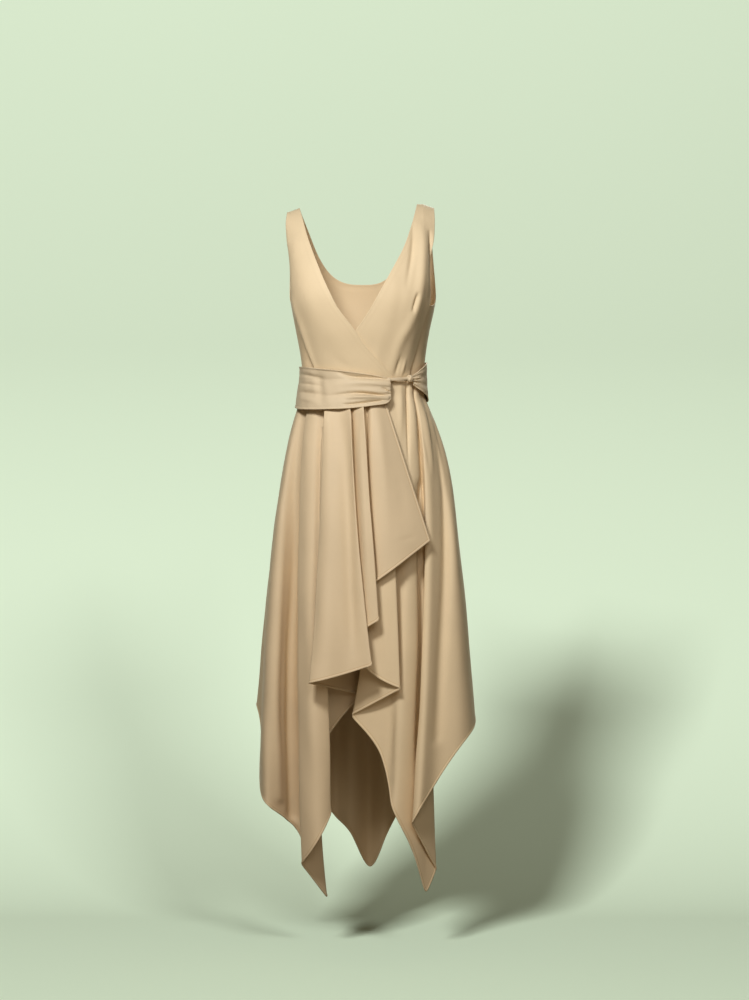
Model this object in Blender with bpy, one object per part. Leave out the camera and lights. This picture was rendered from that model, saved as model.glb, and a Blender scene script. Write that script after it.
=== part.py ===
"""Sleeveless surplice wrap dress with a handkerchief hem, held in its worn, hollow form.

Metres. +Z is up, +Y is the wearer's back and -X is the wearer's right. The origin is midway
between the shoulder straps, at their height. Angles round the body start at the wearer's
right side (0) and pass the front (90), the wearer's left side (180) and the back (270).
"""

from collections import namedtuple
from math import radians

import bmesh
import bpy
import numpy as np

# Cloth
WALL = 0.0012
LAYER = 0.0026  # from one layer's middle to the next where they lie on each other
SIDE_LIFT = 0.0019  # the fronts' side edges lie this far out from the back's
SEAM_INSET = 0.0004  # each edge of a seam stands back by this
WAIST_SEAM = 0.0010  # the skirt starts this far below the bodice

# Figure: the waist seam lies level, and the skirt hangs from it
WAIST_DROP = 0.350
WAIST_HALF_WIDTH = 0.1200
WAIST_FRONT = 0.086
WAIST_BACK = 0.082
BUST_DROP = 0.200
CREST_ROUND = 0.70  # how fully the cloth rounds over the shoulder
SHOULDER_FALL = 0.35  # the shoulder's slope outside the straps' inner edges
SHOULDER_FROM = 0.120
SHOULDER_TILT = 0.024  # one shoulder stands a little above the other
SHOULDER_FADE = 0.150

# Hips push the skirt out between the sash and the thighs
HIP_START = 0.030
HIP_LENGTH = 1.0
HIP_RIGHT = 0.035  # wearer's right, -X
HIP_LEFT = 0.043
HIP_FRONT = 0.018
HIP_BACK = 0.034

Profile = namedtuple("Profile", "drop half_width front back square")
TORSO = (
    Profile(0.000, 0.175, 0.120, 0.094, 2.4),
    Profile(0.050, 0.165, 0.120, 0.094, 2.5),
    Profile(0.100, 0.157, 0.121, 0.095, 2.8),
    Profile(0.150, 0.150, 0.123, 0.096, 3.0),
    Profile(0.200, 0.143, 0.123, 0.095, 2.9),
    Profile(0.250, 0.133, 0.114, 0.091, 2.5),
    Profile(0.300, 0.1242, 0.099, 0.085, 2.2),
    Profile(WAIST_DROP, WAIST_HALF_WIDTH, WAIST_FRONT, WAIST_BACK, 2.0),
)

# Front bodice sections: the neck edge and the armhole or side edge at each row
Section = namedtuple("Section", "neck_drop neck_x side_drop side_x")
FRONT_OVER = (
    Section(0.000, -0.1265, 0.000, -0.1515),
    Section(0.030, -0.1190, 0.030, -0.1530),
    Section(0.066, -0.1090, 0.066, -0.1500),
    Section(0.097, -0.0985, 0.095, -0.1460),
    Section(0.125, -0.0880, 0.125, -0.1430),
    Section(0.154, -0.0765, 0.157, -0.1410),
    Section(0.178, -0.0655, 0.187, -0.1385),
    Section(0.213, -0.0470, 0.218, -0.1315),
    Section(0.251, -0.0175, 0.254, -0.1195),
    Section(0.289, 0.0090, 0.290, -0.1065),
    Section(0.318, 0.0350, 0.318, -0.0955),
    Section(0.336, 0.0510, 0.336, -0.0900),
    Section(0.350, 0.0625, 0.350, -0.0860),
)
FRONT_UNDER = (
    Section(0.000, 0.1080, 0.000, 0.1420),
    Section(0.030, 0.1005, 0.030, 0.1425),
    Section(0.060, 0.0920, 0.062, 0.1405),
    Section(0.095, 0.0790, 0.095, 0.1365),
    Section(0.125, 0.0640, 0.125, 0.1345),
    Section(0.150, 0.0505, 0.157, 0.1350),
    Section(0.190, 0.0285, 0.190, 0.1345),
    Section(0.221, 0.0105, 0.220, 0.1290),
    Section(0.252, -0.0110, 0.255, 0.1180),
    Section(0.283, -0.0300, 0.290, 0.1080),
    Section(0.310, -0.0480, 0.318, 0.0985),
    Section(0.333, -0.0620, 0.336, 0.0935),
    Section(0.350, -0.0720, 0.350, 0.0900),
)

# Back bodice: its edge runs round the armhole, over the strap and along a round back neck
BACK_LAP_ANGLE = 24.0  # it wraps forward under the arm, beneath the front's side edge
BACK_LAP_WAIST = 48.0
ARMHOLE_DROP = 0.205
BACK_NECK_DROP = 0.150
Strap = namedtuple("Strap", "outer inner")
RIGHT_STRAP = Strap(-32.5, -47.4)
LEFT_STRAP = Strap(-38.9, -55.9)

# Skirt: one row for each fold, from the under front's free edge round to the over front's
Rib = namedtuple("Rib", "name angle lift hem_x hem_y hem_z late crease")
SKIRT = (
    Rib("under_edge", 67, 0.000, -0.050, -0.118, -0.800, 1.0, 3),
    Rib("d_left", 82, 0.000, -0.012, -0.112, -0.905, 1.0, 1),
    Rib("d_face", 100, 0.000, 0.036, -0.126, -0.942, 1.0, 1),
    Rib("d_right", 114, 0.001, 0.0755, -0.124, -0.957, 1.1, 2),
    Rib("e_left", 116, -0.001, -0.024, -0.078, -1.012, 1.6, 2),
    Rib("e_flank", 125, 0.001, 0.040, -0.084, -1.078, 1.3, 1),
    Rib("e_valley", 133, -0.001, 0.047, -0.098, -1.152, 1.2, 1),
    Rib("e_ridge", 140, 0.001, 0.058, -0.128, -1.200, 1.2, 1),
    Rib("e_face", 145, 0.000, 0.1000, -0.100, -1.270, 1.2, 1),
    Rib("tip", 148, -0.008, 0.124, -0.074, -1.362, 2.0, 2),
    Rib("tip_turn", 149.5, -0.007, 0.145, -0.054, -1.318, 2.0, 2),
    Rib("r_left", 151, 0.001, 0.095, -0.122, -1.220, 1.2, 2),
    Rib("r_ridge", 157, 0.002, 0.112, -0.140, -1.191, 1.1, 1),
    Rib("r_trough", 166, -0.001, 0.138, -0.086, -1.150, 1.0, 1),
    Rib("r_side", 172, 0.001, 0.202, -0.084, -1.058, 1.0, 1),
    Rib("left_outline", 178, 0.000, 0.228, -0.012, -1.036, 1.25, 1),
    Rib("left_seam", 183, 0.000, 0.222, 0.036, -1.008, 1.0, 1),
    Rib("back_1", 196, 0.000, 0.205, 0.090, -1.050, 1.0, 1),
    Rib("back_2", 210, 0.001, 0.176, 0.165, -1.085, 1.1, 1),
    Rib("back_3", 224, -0.001, 0.118, 0.140, -1.150, 1.3, 1),
    Rib("back_4", 238, 0.001, 0.088, 0.222, -1.215, 1.1, 1),
    Rib("back_5", 252, -0.001, 0.042, 0.172, -1.285, 1.3, 1),
    Rib("back_point", 266, 0.001, 0.014, 0.240, -1.392, 1.1, 1),
    Rib("back_6", 278, -0.001, -0.026, 0.172, -1.262, 1.3, 1),
    Rib("back_7", 291, 0.001, -0.060, 0.222, -1.256, 1.1, 1),
    Rib("back_8", 305, -0.001, -0.096, 0.150, -1.180, 1.3, 1),
    Rib("back_9", 320, 0.001, -0.152, 0.178, -1.110, 1.1, 1),
    Rib("back_10", 336, 0.000, -0.186, 0.100, -1.040, 1.0, 1),
    Rib("back_flare", 346, 0.000, -0.226, 0.086, -0.988, 1.0, 1),
    Rib("right_seam", 356, 0.000, -0.200, 0.040, -1.030, 1.0, 1),
    Rib("right_outline", 365, 0.000, -0.208, -0.004, -1.172, 1.0, 1),
    Rib("g_ridge", 375, 0.001, -0.193, -0.070, -1.192, 1.0, 1),
    Rib("g_trough", 381, -0.001, -0.139, 0.010, -1.232, 1.0, 1),
    Rib("g_turn", 385, -0.001, -0.119, 0.014, -1.276, 1.0, 1),
    Rib("point", 388, -0.001, -0.070, -0.044, -1.378, 0.6, 2),
    Rib("g_edge", 389, 0.001, -0.121, -0.100, -1.302, 1.3, 2),
    Rib("g_face", 398, 0.003, -0.088, -0.136, -1.258, 1.1, 1),
    Rib("g_right", 408, -0.001, -0.063, -0.104, -1.200, 1.1, 2),
    Rib("f_left", 410, -0.001, -0.102, -0.080, -1.075, 1.0, 1),
    Rib("f_right", 417, -0.003, 0.000, -0.025, -0.976, 1.4, 2),
    Rib("a_left", 414, 0.006, -0.105, -0.146, -0.944, 2.0, 2),
    Rib("a_ridge", 422, 0.008, -0.074, -0.172, -0.936, 1.2, 1),
    Rib("a_trough", 430, 0.005, -0.026, -0.148, -0.924, 1.1, 1),
    Rib("a_right", 437, 0.008, 0.017, -0.158, -0.908, 1.7, 2),
    Rib("b_left", 436, 0.003, -0.020, -0.138, -0.853, 1.3, 1),
    Rib("b_right", 449, 0.007, 0.032, -0.146, -0.822, 1.1, 2),
    Rib("c_left", 447, 0.002, -0.004, -0.126, -0.766, 1.2, 1),
    Rib("c_ridge", 452, 0.006, 0.032, -0.136, -0.744, 1.1, 1),
    Rib("c_face", 458, 0.006, 0.080, -0.130, -0.708, 1.0, 1),
    Rib("over_edge", 464.5, 0.004, 0.132, -0.096, -0.668, 1.0, 3),
)
ROWS_DOWN = (0.0, 0.05, 0.10, 0.16, 0.25, 0.37, 0.51, 0.67, 0.84, 1.0)

# Sash: height and stand-off round the waist, and how deep its level folds are
Band = namedtuple("Band", "angle top bottom lift flare fold")
SASH_FRONT = (
    Band(-3, -0.3215, -0.4010, 0.0026, 0.0110, 0.0003),
    Band(25, -0.3240, -0.4080, 0.0060, 0.0120, 0.0007),
    Band(55, -0.3300, -0.4100, 0.0080, 0.0140, 0.0012),
    Band(80, -0.3365, -0.4085, 0.0085, 0.0140, 0.0020),
    Band(98, -0.3425, -0.4035, 0.0085, 0.0130, 0.0032),
    Band(109, -0.3475, -0.3990, 0.0080, 0.0110, 0.0040),
    Band(113.4, -0.3515, -0.3900, 0.0090, 0.0080, 0.0026),
)
SASH_END = (
    Band(139.5, -0.3420, -0.3605, 0.0075, 0.0030, 0.0010),
    Band(144.0, -0.3370, -0.3655, 0.0078, 0.0045, 0.0016),
    Band(150.5, -0.3295, -0.3725, 0.0080, 0.0055, 0.0016),
    Band(159.0, -0.3220, -0.3795, 0.0070, 0.0062, 0.0012),
    Band(170.0, -0.3155, -0.3850, 0.0050, 0.0058, 0.0008),
    Band(181.0, -0.3125, -0.3900, 0.0032, 0.0060, 0.0004),
)
SASH_BACK = (
    Band(181, -0.3125, -0.3900, 0.0032, 0.0060, 0.0004),
    Band(225, -0.3130, -0.3960, 0.0040, 0.0125, 0.0008),
    Band(270, -0.3150, -0.3990, 0.0040, 0.0140, 0.0010),
    Band(315, -0.3185, -0.4000, 0.0040, 0.0125, 0.0008),
    Band(357, -0.3215, -0.4010, 0.0026, 0.0110, 0.0003),
)
SASH_FOLDS = 3
SASH_WALL = 0.0016
TIE_RADIUS = 0.0022
TIE_FROM = 114.0
TIE_TO = 132.45
TIE_Z = (-0.3520, -0.3485)
TIE_LIFT = 0.0105
KNOT_ANGLE = 135.3
KNOT_Z = -0.3485
KNOT_SIZE = (0.0050, 0.0062, 0.0074)

CREPE = (0.78, 0.62, 0.42, 1.0)
CREPE_BACK = (0.70, 0.55, 0.37, 1.0)
SASH_CREPE = (0.82, 0.66, 0.46, 1.0)


def clear_scene():
    for obj in list(bpy.data.objects):
        bpy.data.objects.remove(obj, do_unlink=True)


def cloth_material(name, color):
    material = bpy.data.materials.new(name)
    material.use_nodes = True
    shader = material.node_tree.nodes["Principled BSDF"]
    shader.inputs["Base Color"].default_value = color
    shader.inputs["Roughness"].default_value = 0.55
    shader.inputs["Metallic"].default_value = 0.0
    return material


def through(rows, at):
    """Catmull-Rom curve through evenly spaced rows, read at the places in at."""
    rows = np.asarray(rows, float)
    last = len(rows) - 1
    at = np.clip(np.asarray(at, float), 0, last)
    i = np.minimum(at.astype(int), last - 1)
    t = (at - i)[:, None]
    ends = np.vstack([2 * rows[0] - rows[1], rows, 2 * rows[-1] - rows[-2]])
    a, b, c, d = (ends[i + k] for k in range(4))
    return b + 0.5 * t * (c - a + t * (2 * a - 5 * b + 4 * c - d + t * (3 * b - a - 3 * c + d)))


def soft_curve(points, at):
    """Cubic B-spline of control points, read at the places in at. Place 1 is near points[1]."""
    at = np.asarray(at, float)
    i = np.clip(at.astype(int), 1, len(points) - 3)
    t = (at - i)[:, None, None]
    a, b, c, d = (points[i + k] for k in (-1, 0, 1, 2))
    weights = (
        (1 - t) ** 3,
        3 * t**3 - 6 * t**2 + 4,
        -3 * t**3 + 3 * t**2 + 3 * t + 1,
        t**3,
    )
    return (weights[0] * a + weights[1] * b + weights[2] * c + weights[3] * d) / 6


def torso_at(drop):
    """Half width, front depth, back depth and squareness of the body at each drop."""
    drop = np.asarray(drop, float)
    step = TORSO[1].drop - TORSO[0].drop
    values = [row[1:] for row in TORSO]
    width, front, back, square = through(values, drop.ravel() / step).T.reshape(4, *drop.shape)
    rise = np.clip(1 - drop / BUST_DROP, 0, 1)
    crest = np.maximum(1 - rise**2, 0) ** CREST_ROUND
    return width, front * crest, back * crest, square


def power(value, exponent):
    return np.sign(value) * np.abs(value) ** exponent


def body_points(angle, drop):
    """Points on the figure, angle in degrees round it and drop below the shoulder crest."""
    width, front, back, square = torso_at(drop)
    turn = np.radians(angle)
    x = -width * power(np.cos(turn), 2 / square)
    depth = np.where(np.sin(turn) > 0, front, back)
    y = -depth * power(np.sin(turn), 2 / square)
    fall = SHOULDER_FALL * np.maximum(np.abs(x) - SHOULDER_FROM, 0)
    crest = SHOULDER_TILT * np.clip(x, -SHOULDER_FROM, SHOULDER_FROM) - fall
    fade = np.clip(1 - drop / SHOULDER_FADE, 0, 1) ** 2
    return np.stack([x, y, crest * fade - drop], axis=-1)


def front_angle(x, drop):
    """The angle at which the front of the figure has this x."""
    width, _, _, square = torso_at(drop)
    return np.degrees(np.arccos(np.clip(power(-x / width, square / 2), -1, 1)))


def moved_out(points, lift):
    """A grid's points moved along its own normals, away from the body."""
    across = np.gradient(points, axis=1)
    down = np.gradient(points, axis=0)
    normal = np.cross(down, across)
    normal /= np.maximum(np.linalg.norm(normal, axis=-1, keepdims=True), 1e-12)
    middle = points.mean(axis=(0, 1)) * (1, 1, 0)
    outward = np.einsum("ijk,ijk->ij", normal, points * (1, 1, 0) - 0.3 * middle)
    if outward.sum() < 0:
        normal = -normal
    return points + normal * np.asarray(lift)[..., None]


def inset_edge(points, first, last):
    """The first or last column drawn in along its rows, which leaves the gap at a seam."""
    points = points.copy()
    for ask, end, inner in ((first, 0, 1), (last, -1, -2)):
        if ask:
            way = points[:, inner] - points[:, end]
            points[:, end] += SEAM_INSET * way / np.linalg.norm(way, axis=-1, keepdims=True)
    return points


def cloth_wall(name, points, material, wall=WALL):
    """A closed wall on a grid of middle points, rows by columns."""
    rows, columns = points.shape[:2]
    mesh = bpy.data.meshes.new(name)
    grid = bmesh.new()
    bmesh.ops.create_grid(grid, x_segments=columns - 1, y_segments=rows - 1, size=0.5)
    for vertex, place in zip(grid.verts, points.reshape(-1, 3)):
        vertex.co = place
    grid.to_mesh(mesh)
    grid.free()
    mesh.materials.append(material)
    mesh.shade_smooth()
    obj = bpy.data.objects.new(name, mesh)
    bpy.context.collection.objects.link(obj)
    thickness = obj.modifiers.new("wall", "SOLIDIFY")
    thickness.thickness = wall
    thickness.offset = 0.0
    return obj


def front_bodice(name, sections, lift, material):
    places = np.array([0, 0.07, 0.18, 0.36, 0.62, 1, 1.5, 2, 3, 4, 5, 6, 7, 8, 9, 10, 11, 12])
    neck_drop, neck_x, side_drop, side_x = through(sections, places).T
    neck_angle = front_angle(neck_x, neck_drop)
    side_angle = front_angle(side_x, side_drop)
    s = np.linspace(0, 1, 10)
    drop = neck_drop[:, None] * (1 - s) + side_drop[:, None] * s
    angle = neck_angle[:, None] * (1 - s) + side_angle[:, None] * s
    points = body_points(angle, drop)
    lift = lift + (SIDE_LIFT - lift) * s**16
    points = moved_out(points, lift * np.clip(drop / 0.08, 0, 1) ** 2)
    points[0, :, 1] = -SEAM_INSET
    points[-1, :, 2] = -WAIST_DROP
    return cloth_wall(name, points, material)


def back_edge(strap):
    """Half of the back's upper edge, as angle and drop: armhole, strap top, then back neck."""
    turn = np.radians(np.linspace(0, 90, 6))
    armhole = np.stack(
        [
            BACK_LAP_ANGLE + (strap.outer - BACK_LAP_ANGLE) * np.sin(turn),
            ARMHOLE_DROP * np.cos(turn),
        ],
        axis=1,
    )
    turn = np.radians(np.linspace(0, 90, 6))
    neck = np.stack(
        [
            strap.inner + (-90 - strap.inner) * (turn / turn[-1]) ** 1.15,
            BACK_NECK_DROP * np.sin(turn) ** 0.9,
        ],
        axis=1,
    )
    crest = [[(strap.outer + strap.inner) / 2, 0.0]]
    return np.vstack([armhole, crest, neck])


def back_bodice(material):
    other = back_edge(LEFT_STRAP)[-2::-1] * (-1, 1) - (180, 0)
    angle, drop = np.vstack([back_edge(RIGHT_STRAP), other]).T
    waist_share = (BACK_LAP_WAIST + 90) / (BACK_LAP_ANGLE + 90)
    waist_angle = -90 + (angle + 90) * waist_share
    v = np.linspace(0, 1, 11)[:, None] ** 1.6
    drops = drop + (WAIST_DROP - drop) * v
    angles = angle + (waist_angle - angle) * v
    points = body_points(angles, drops)
    points[0, drop < 1e-6, 1] = SEAM_INSET
    return cloth_wall("bodice_back", points, material)


def hip_push(drop):
    t = np.clip(drop - HIP_START, 0, None) / HIP_LENGTH
    return (1 - (1 - t) ** 9) * (1 - t**3)


def rib_points(rib, v):
    """One fold line from the waist seam to the hem."""
    turn = radians(rib.angle)
    out = np.array([-np.cos(turn), -np.sin(turn)])
    depth = WAIST_FRONT if out[1] < 0 else WAIST_BACK
    waist = out * (WAIST_HALF_WIDTH + rib.lift, depth + rib.lift)
    hip_x = HIP_LEFT if out[0] > 0 else HIP_RIGHT
    hip_y = HIP_FRONT if out[1] < 0 else HIP_BACK
    hip = out * (hip_x * abs(out[0]) ** 3, hip_y)
    start = -WAIST_DROP - WAIST_SEAM
    length = start - rib.hem_z
    hem = np.array([rib.hem_x, rib.hem_y])
    line = waist + (hem - waist - hip_push(length) * hip) * v[:, None] ** rib.late
    xy = line + hip_push(length * v)[:, None] * hip
    return np.column_stack([xy, start - length * v])


def skirt_ribs():
    """The rib table with each crease repeated, and the place of each name in it."""
    rows = []
    place = {}
    for rib in SKIRT:
        place[rib.name] = len(rows) + (rib.crease - 1) / 2
        rows += [rib] * rib.crease
    return rows, place


def skirt_panel(name, first, last, material, per_rib=2):
    rows, place = skirt_ribs()
    v = np.array(ROWS_DOWN)
    net = np.array([rib_points(rib, v) for rib in rows])
    start, end = place[first], place[last]
    at = np.linspace(start, end, int((end - start) * per_rib) + 1)
    points = soft_curve(net, at).transpose(1, 0, 2)
    points = inset_edge(points, first.endswith("seam"), last.endswith("seam"))
    return cloth_wall(name, points, material)


def around_waist(angle, lift, z):
    """Points that stand off the body near the waist, by angle and height."""
    angle, lift, z = np.broadcast_arrays(angle, lift, z)
    body = body_points(angle, np.minimum(-z, WAIST_DROP))
    turn = np.radians(angle)
    x = body[..., 0] - lift * np.cos(turn)
    y = body[..., 1] - lift * np.sin(turn)
    return np.stack([x, y, z], axis=-1)


def band_points(bands, columns, rows=13):
    """A stretch of the sash, with level folds rolled between its two edges."""
    places = np.linspace(0, len(bands) - 1, columns)
    angle, top, bottom, lift, flare, fold = through(bands, places).T
    s = np.linspace(0, 1, rows)[:, None]
    z = top * (1 - s) + bottom * s
    roll = fold * (1 - np.cos(SASH_FOLDS * 2 * np.pi * s))
    return around_waist(angle, lift + flare * s + roll, z)


def sash_band(name, bands, columns, material):
    points = inset_edge(band_points(bands, columns), True, True)
    return cloth_wall(name, points, material, SASH_WALL)


def sash_tie(material):
    curve = bpy.data.curves.new("sash_tie", "CURVE")
    curve.dimensions = "3D"
    curve.bevel_depth = TIE_RADIUS
    curve.bevel_resolution = 2
    curve.use_fill_caps = True
    line = curve.splines.new("POLY")
    angles = np.linspace(TIE_FROM, TIE_TO, 7)
    line.points.add(len(angles) - 1)
    heights = np.linspace(*TIE_Z, len(angles))
    for point, place in zip(line.points, around_waist(angles, TIE_LIFT, heights)):
        point.co = (*place, 1.0)
    curve.materials.append(material)
    obj = bpy.data.objects.new("sash_tie", curve)
    bpy.context.collection.objects.link(obj)
    return obj


def sash_knot(material):
    mesh = bpy.data.meshes.new("sash_knot")
    ball = bmesh.new()
    bmesh.ops.create_uvsphere(ball, u_segments=16, v_segments=8, radius=1.0)
    bmesh.ops.scale(ball, vec=KNOT_SIZE, verts=ball.verts)
    place = around_waist(KNOT_ANGLE, TIE_LIFT, KNOT_Z)
    bmesh.ops.translate(ball, vec=place, verts=ball.verts)
    ball.to_mesh(mesh)
    ball.free()
    mesh.materials.append(material)
    mesh.shade_smooth()
    obj = bpy.data.objects.new("sash_knot", mesh)
    bpy.context.collection.objects.link(obj)
    return obj


def main():
    clear_scene()
    crepe = cloth_material("crepe", CREPE)
    crepe_back = cloth_material("crepe_back", CREPE_BACK)
    sash_crepe = cloth_material("sash_crepe", SASH_CREPE)
    front_bodice("bodice_front_over", FRONT_OVER, 2 * LAYER, crepe)
    front_bodice("bodice_front_under", FRONT_UNDER, LAYER, crepe)
    back_bodice(crepe_back)
    skirt_panel("skirt_front_under", "under_edge", "left_seam", crepe)
    skirt_panel("skirt_back", "left_seam", "right_seam", crepe_back)
    skirt_panel("skirt_front_over", "right_seam", "over_edge", crepe)
    sash_band("sash_front", SASH_FRONT, 17, sash_crepe)
    sash_band("sash_back", SASH_BACK, 12, sash_crepe)
    sash_band("sash_end", SASH_END, 9, sash_crepe)
    sash_tie(sash_crepe)
    sash_knot(sash_crepe)


main()
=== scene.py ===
"""Cloth, sash and stage for the surplice wrap dress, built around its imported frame.

Metres, +Z up, +Y the wearer's back, -X the wearer's right, origin between the shoulder straps.
Angles round the body start at the wearer's right side (0) and pass the front (90), the
wearer's left side (180) and the back (270).
"""

from collections import namedtuple
from functools import partial

import bmesh
import bpy
import numpy as np
from bpy.props import FloatProperty, FloatVectorProperty, PointerProperty
from mathutils import Matrix, Vector


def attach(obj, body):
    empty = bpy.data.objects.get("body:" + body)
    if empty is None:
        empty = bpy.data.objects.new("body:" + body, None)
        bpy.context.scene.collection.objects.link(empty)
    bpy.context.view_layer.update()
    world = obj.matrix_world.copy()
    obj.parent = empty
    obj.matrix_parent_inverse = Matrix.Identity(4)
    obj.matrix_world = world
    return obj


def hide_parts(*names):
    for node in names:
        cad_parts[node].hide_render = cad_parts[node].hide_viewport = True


bl_info = {
    "name": "Wrap dress",
    "version": (1, 0, 0),
    "blender": (4, 5, 0),
    "location": "3D View > Sidebar > Dress",
    "description": "Builds a draped wrap dress with a tied sash, and a plain studio round it",
    "category": "Add Mesh",
}

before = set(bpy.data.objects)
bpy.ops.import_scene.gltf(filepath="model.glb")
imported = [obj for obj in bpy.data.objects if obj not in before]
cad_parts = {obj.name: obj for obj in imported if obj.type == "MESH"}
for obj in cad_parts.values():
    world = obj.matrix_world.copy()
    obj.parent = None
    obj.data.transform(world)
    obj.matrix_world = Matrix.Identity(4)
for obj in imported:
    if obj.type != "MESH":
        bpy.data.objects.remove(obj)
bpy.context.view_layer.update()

# Figure under the cloth, as in the frame
WAIST_DROP = 0.350
WAIST_HALF_WIDTH = 0.1200
WAIST_FRONT = 0.086
WAIST_BACK = 0.082
WAIST_SEAM = 0.0010
LAYER = 0.0026
SIDE_LIFT = 0.0019
SEAM_INSET = 0.0004
BUST_DROP = 0.200
CREST_ROUND = 0.70
SHOULDER_FALL = 0.35
SHOULDER_FROM = 0.120
SHOULDER_TILT = 0.024
SHOULDER_FADE = 0.150
HIP_START = 0.030
HIP_LENGTH = 1.0
HIP_RIGHT = 0.035
HIP_LEFT = 0.043
HIP_FRONT = 0.018
HIP_BACK = 0.034

Profile = namedtuple("Profile", "drop half_width front back square")
TORSO = (
    Profile(0.000, 0.175, 0.120, 0.094, 2.4),
    Profile(0.050, 0.165, 0.120, 0.094, 2.5),
    Profile(0.100, 0.157, 0.121, 0.095, 2.8),
    Profile(0.150, 0.150, 0.123, 0.096, 3.0),
    Profile(0.200, 0.143, 0.123, 0.095, 2.9),
    Profile(0.250, 0.133, 0.114, 0.091, 2.5),
    Profile(0.300, 0.1242, 0.099, 0.085, 2.2),
    Profile(WAIST_DROP, WAIST_HALF_WIDTH, WAIST_FRONT, WAIST_BACK, 2.0),
)

# Front bodice sections: the neck edge and the armhole or side edge at each row
Section = namedtuple("Section", "neck_drop neck_x side_drop side_x")
FRONT_OVER = (
    Section(0.000, -0.1265, 0.000, -0.1515),
    Section(0.030, -0.1190, 0.030, -0.1530),
    Section(0.066, -0.1090, 0.066, -0.1500),
    Section(0.097, -0.0985, 0.095, -0.1460),
    Section(0.125, -0.0880, 0.125, -0.1430),
    Section(0.154, -0.0765, 0.157, -0.1410),
    Section(0.178, -0.0655, 0.187, -0.1385),
    Section(0.213, -0.0470, 0.218, -0.1315),
    Section(0.251, -0.0175, 0.254, -0.1195),
    Section(0.289, 0.0090, 0.290, -0.1065),
    Section(0.318, 0.0350, 0.318, -0.0955),
    Section(0.336, 0.0510, 0.336, -0.0900),
    Section(0.350, 0.0625, 0.350, -0.0860),
)
FRONT_UNDER = (
    Section(0.000, 0.1080, 0.000, 0.1420),
    Section(0.030, 0.1005, 0.030, 0.1425),
    Section(0.060, 0.0920, 0.062, 0.1405),
    Section(0.095, 0.0790, 0.095, 0.1365),
    Section(0.125, 0.0640, 0.125, 0.1345),
    Section(0.150, 0.0505, 0.157, 0.1350),
    Section(0.190, 0.0285, 0.190, 0.1345),
    Section(0.221, 0.0105, 0.220, 0.1290),
    Section(0.252, -0.0110, 0.255, 0.1180),
    Section(0.283, -0.0300, 0.290, 0.1080),
    Section(0.310, -0.0480, 0.318, 0.0985),
    Section(0.333, -0.0620, 0.336, 0.0935),
    Section(0.350, -0.0720, 0.350, 0.0900),
)
BACK_LAP_ANGLE = 24.0
BACK_LAP_WAIST = 48.0
ARMHOLE_DROP = 0.205
BACK_NECK_DROP = 0.150
Strap = namedtuple("Strap", "outer inner")
RIGHT_STRAP = Strap(-32.5, -47.4)
LEFT_STRAP = Strap(-38.9, -55.9)

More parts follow.
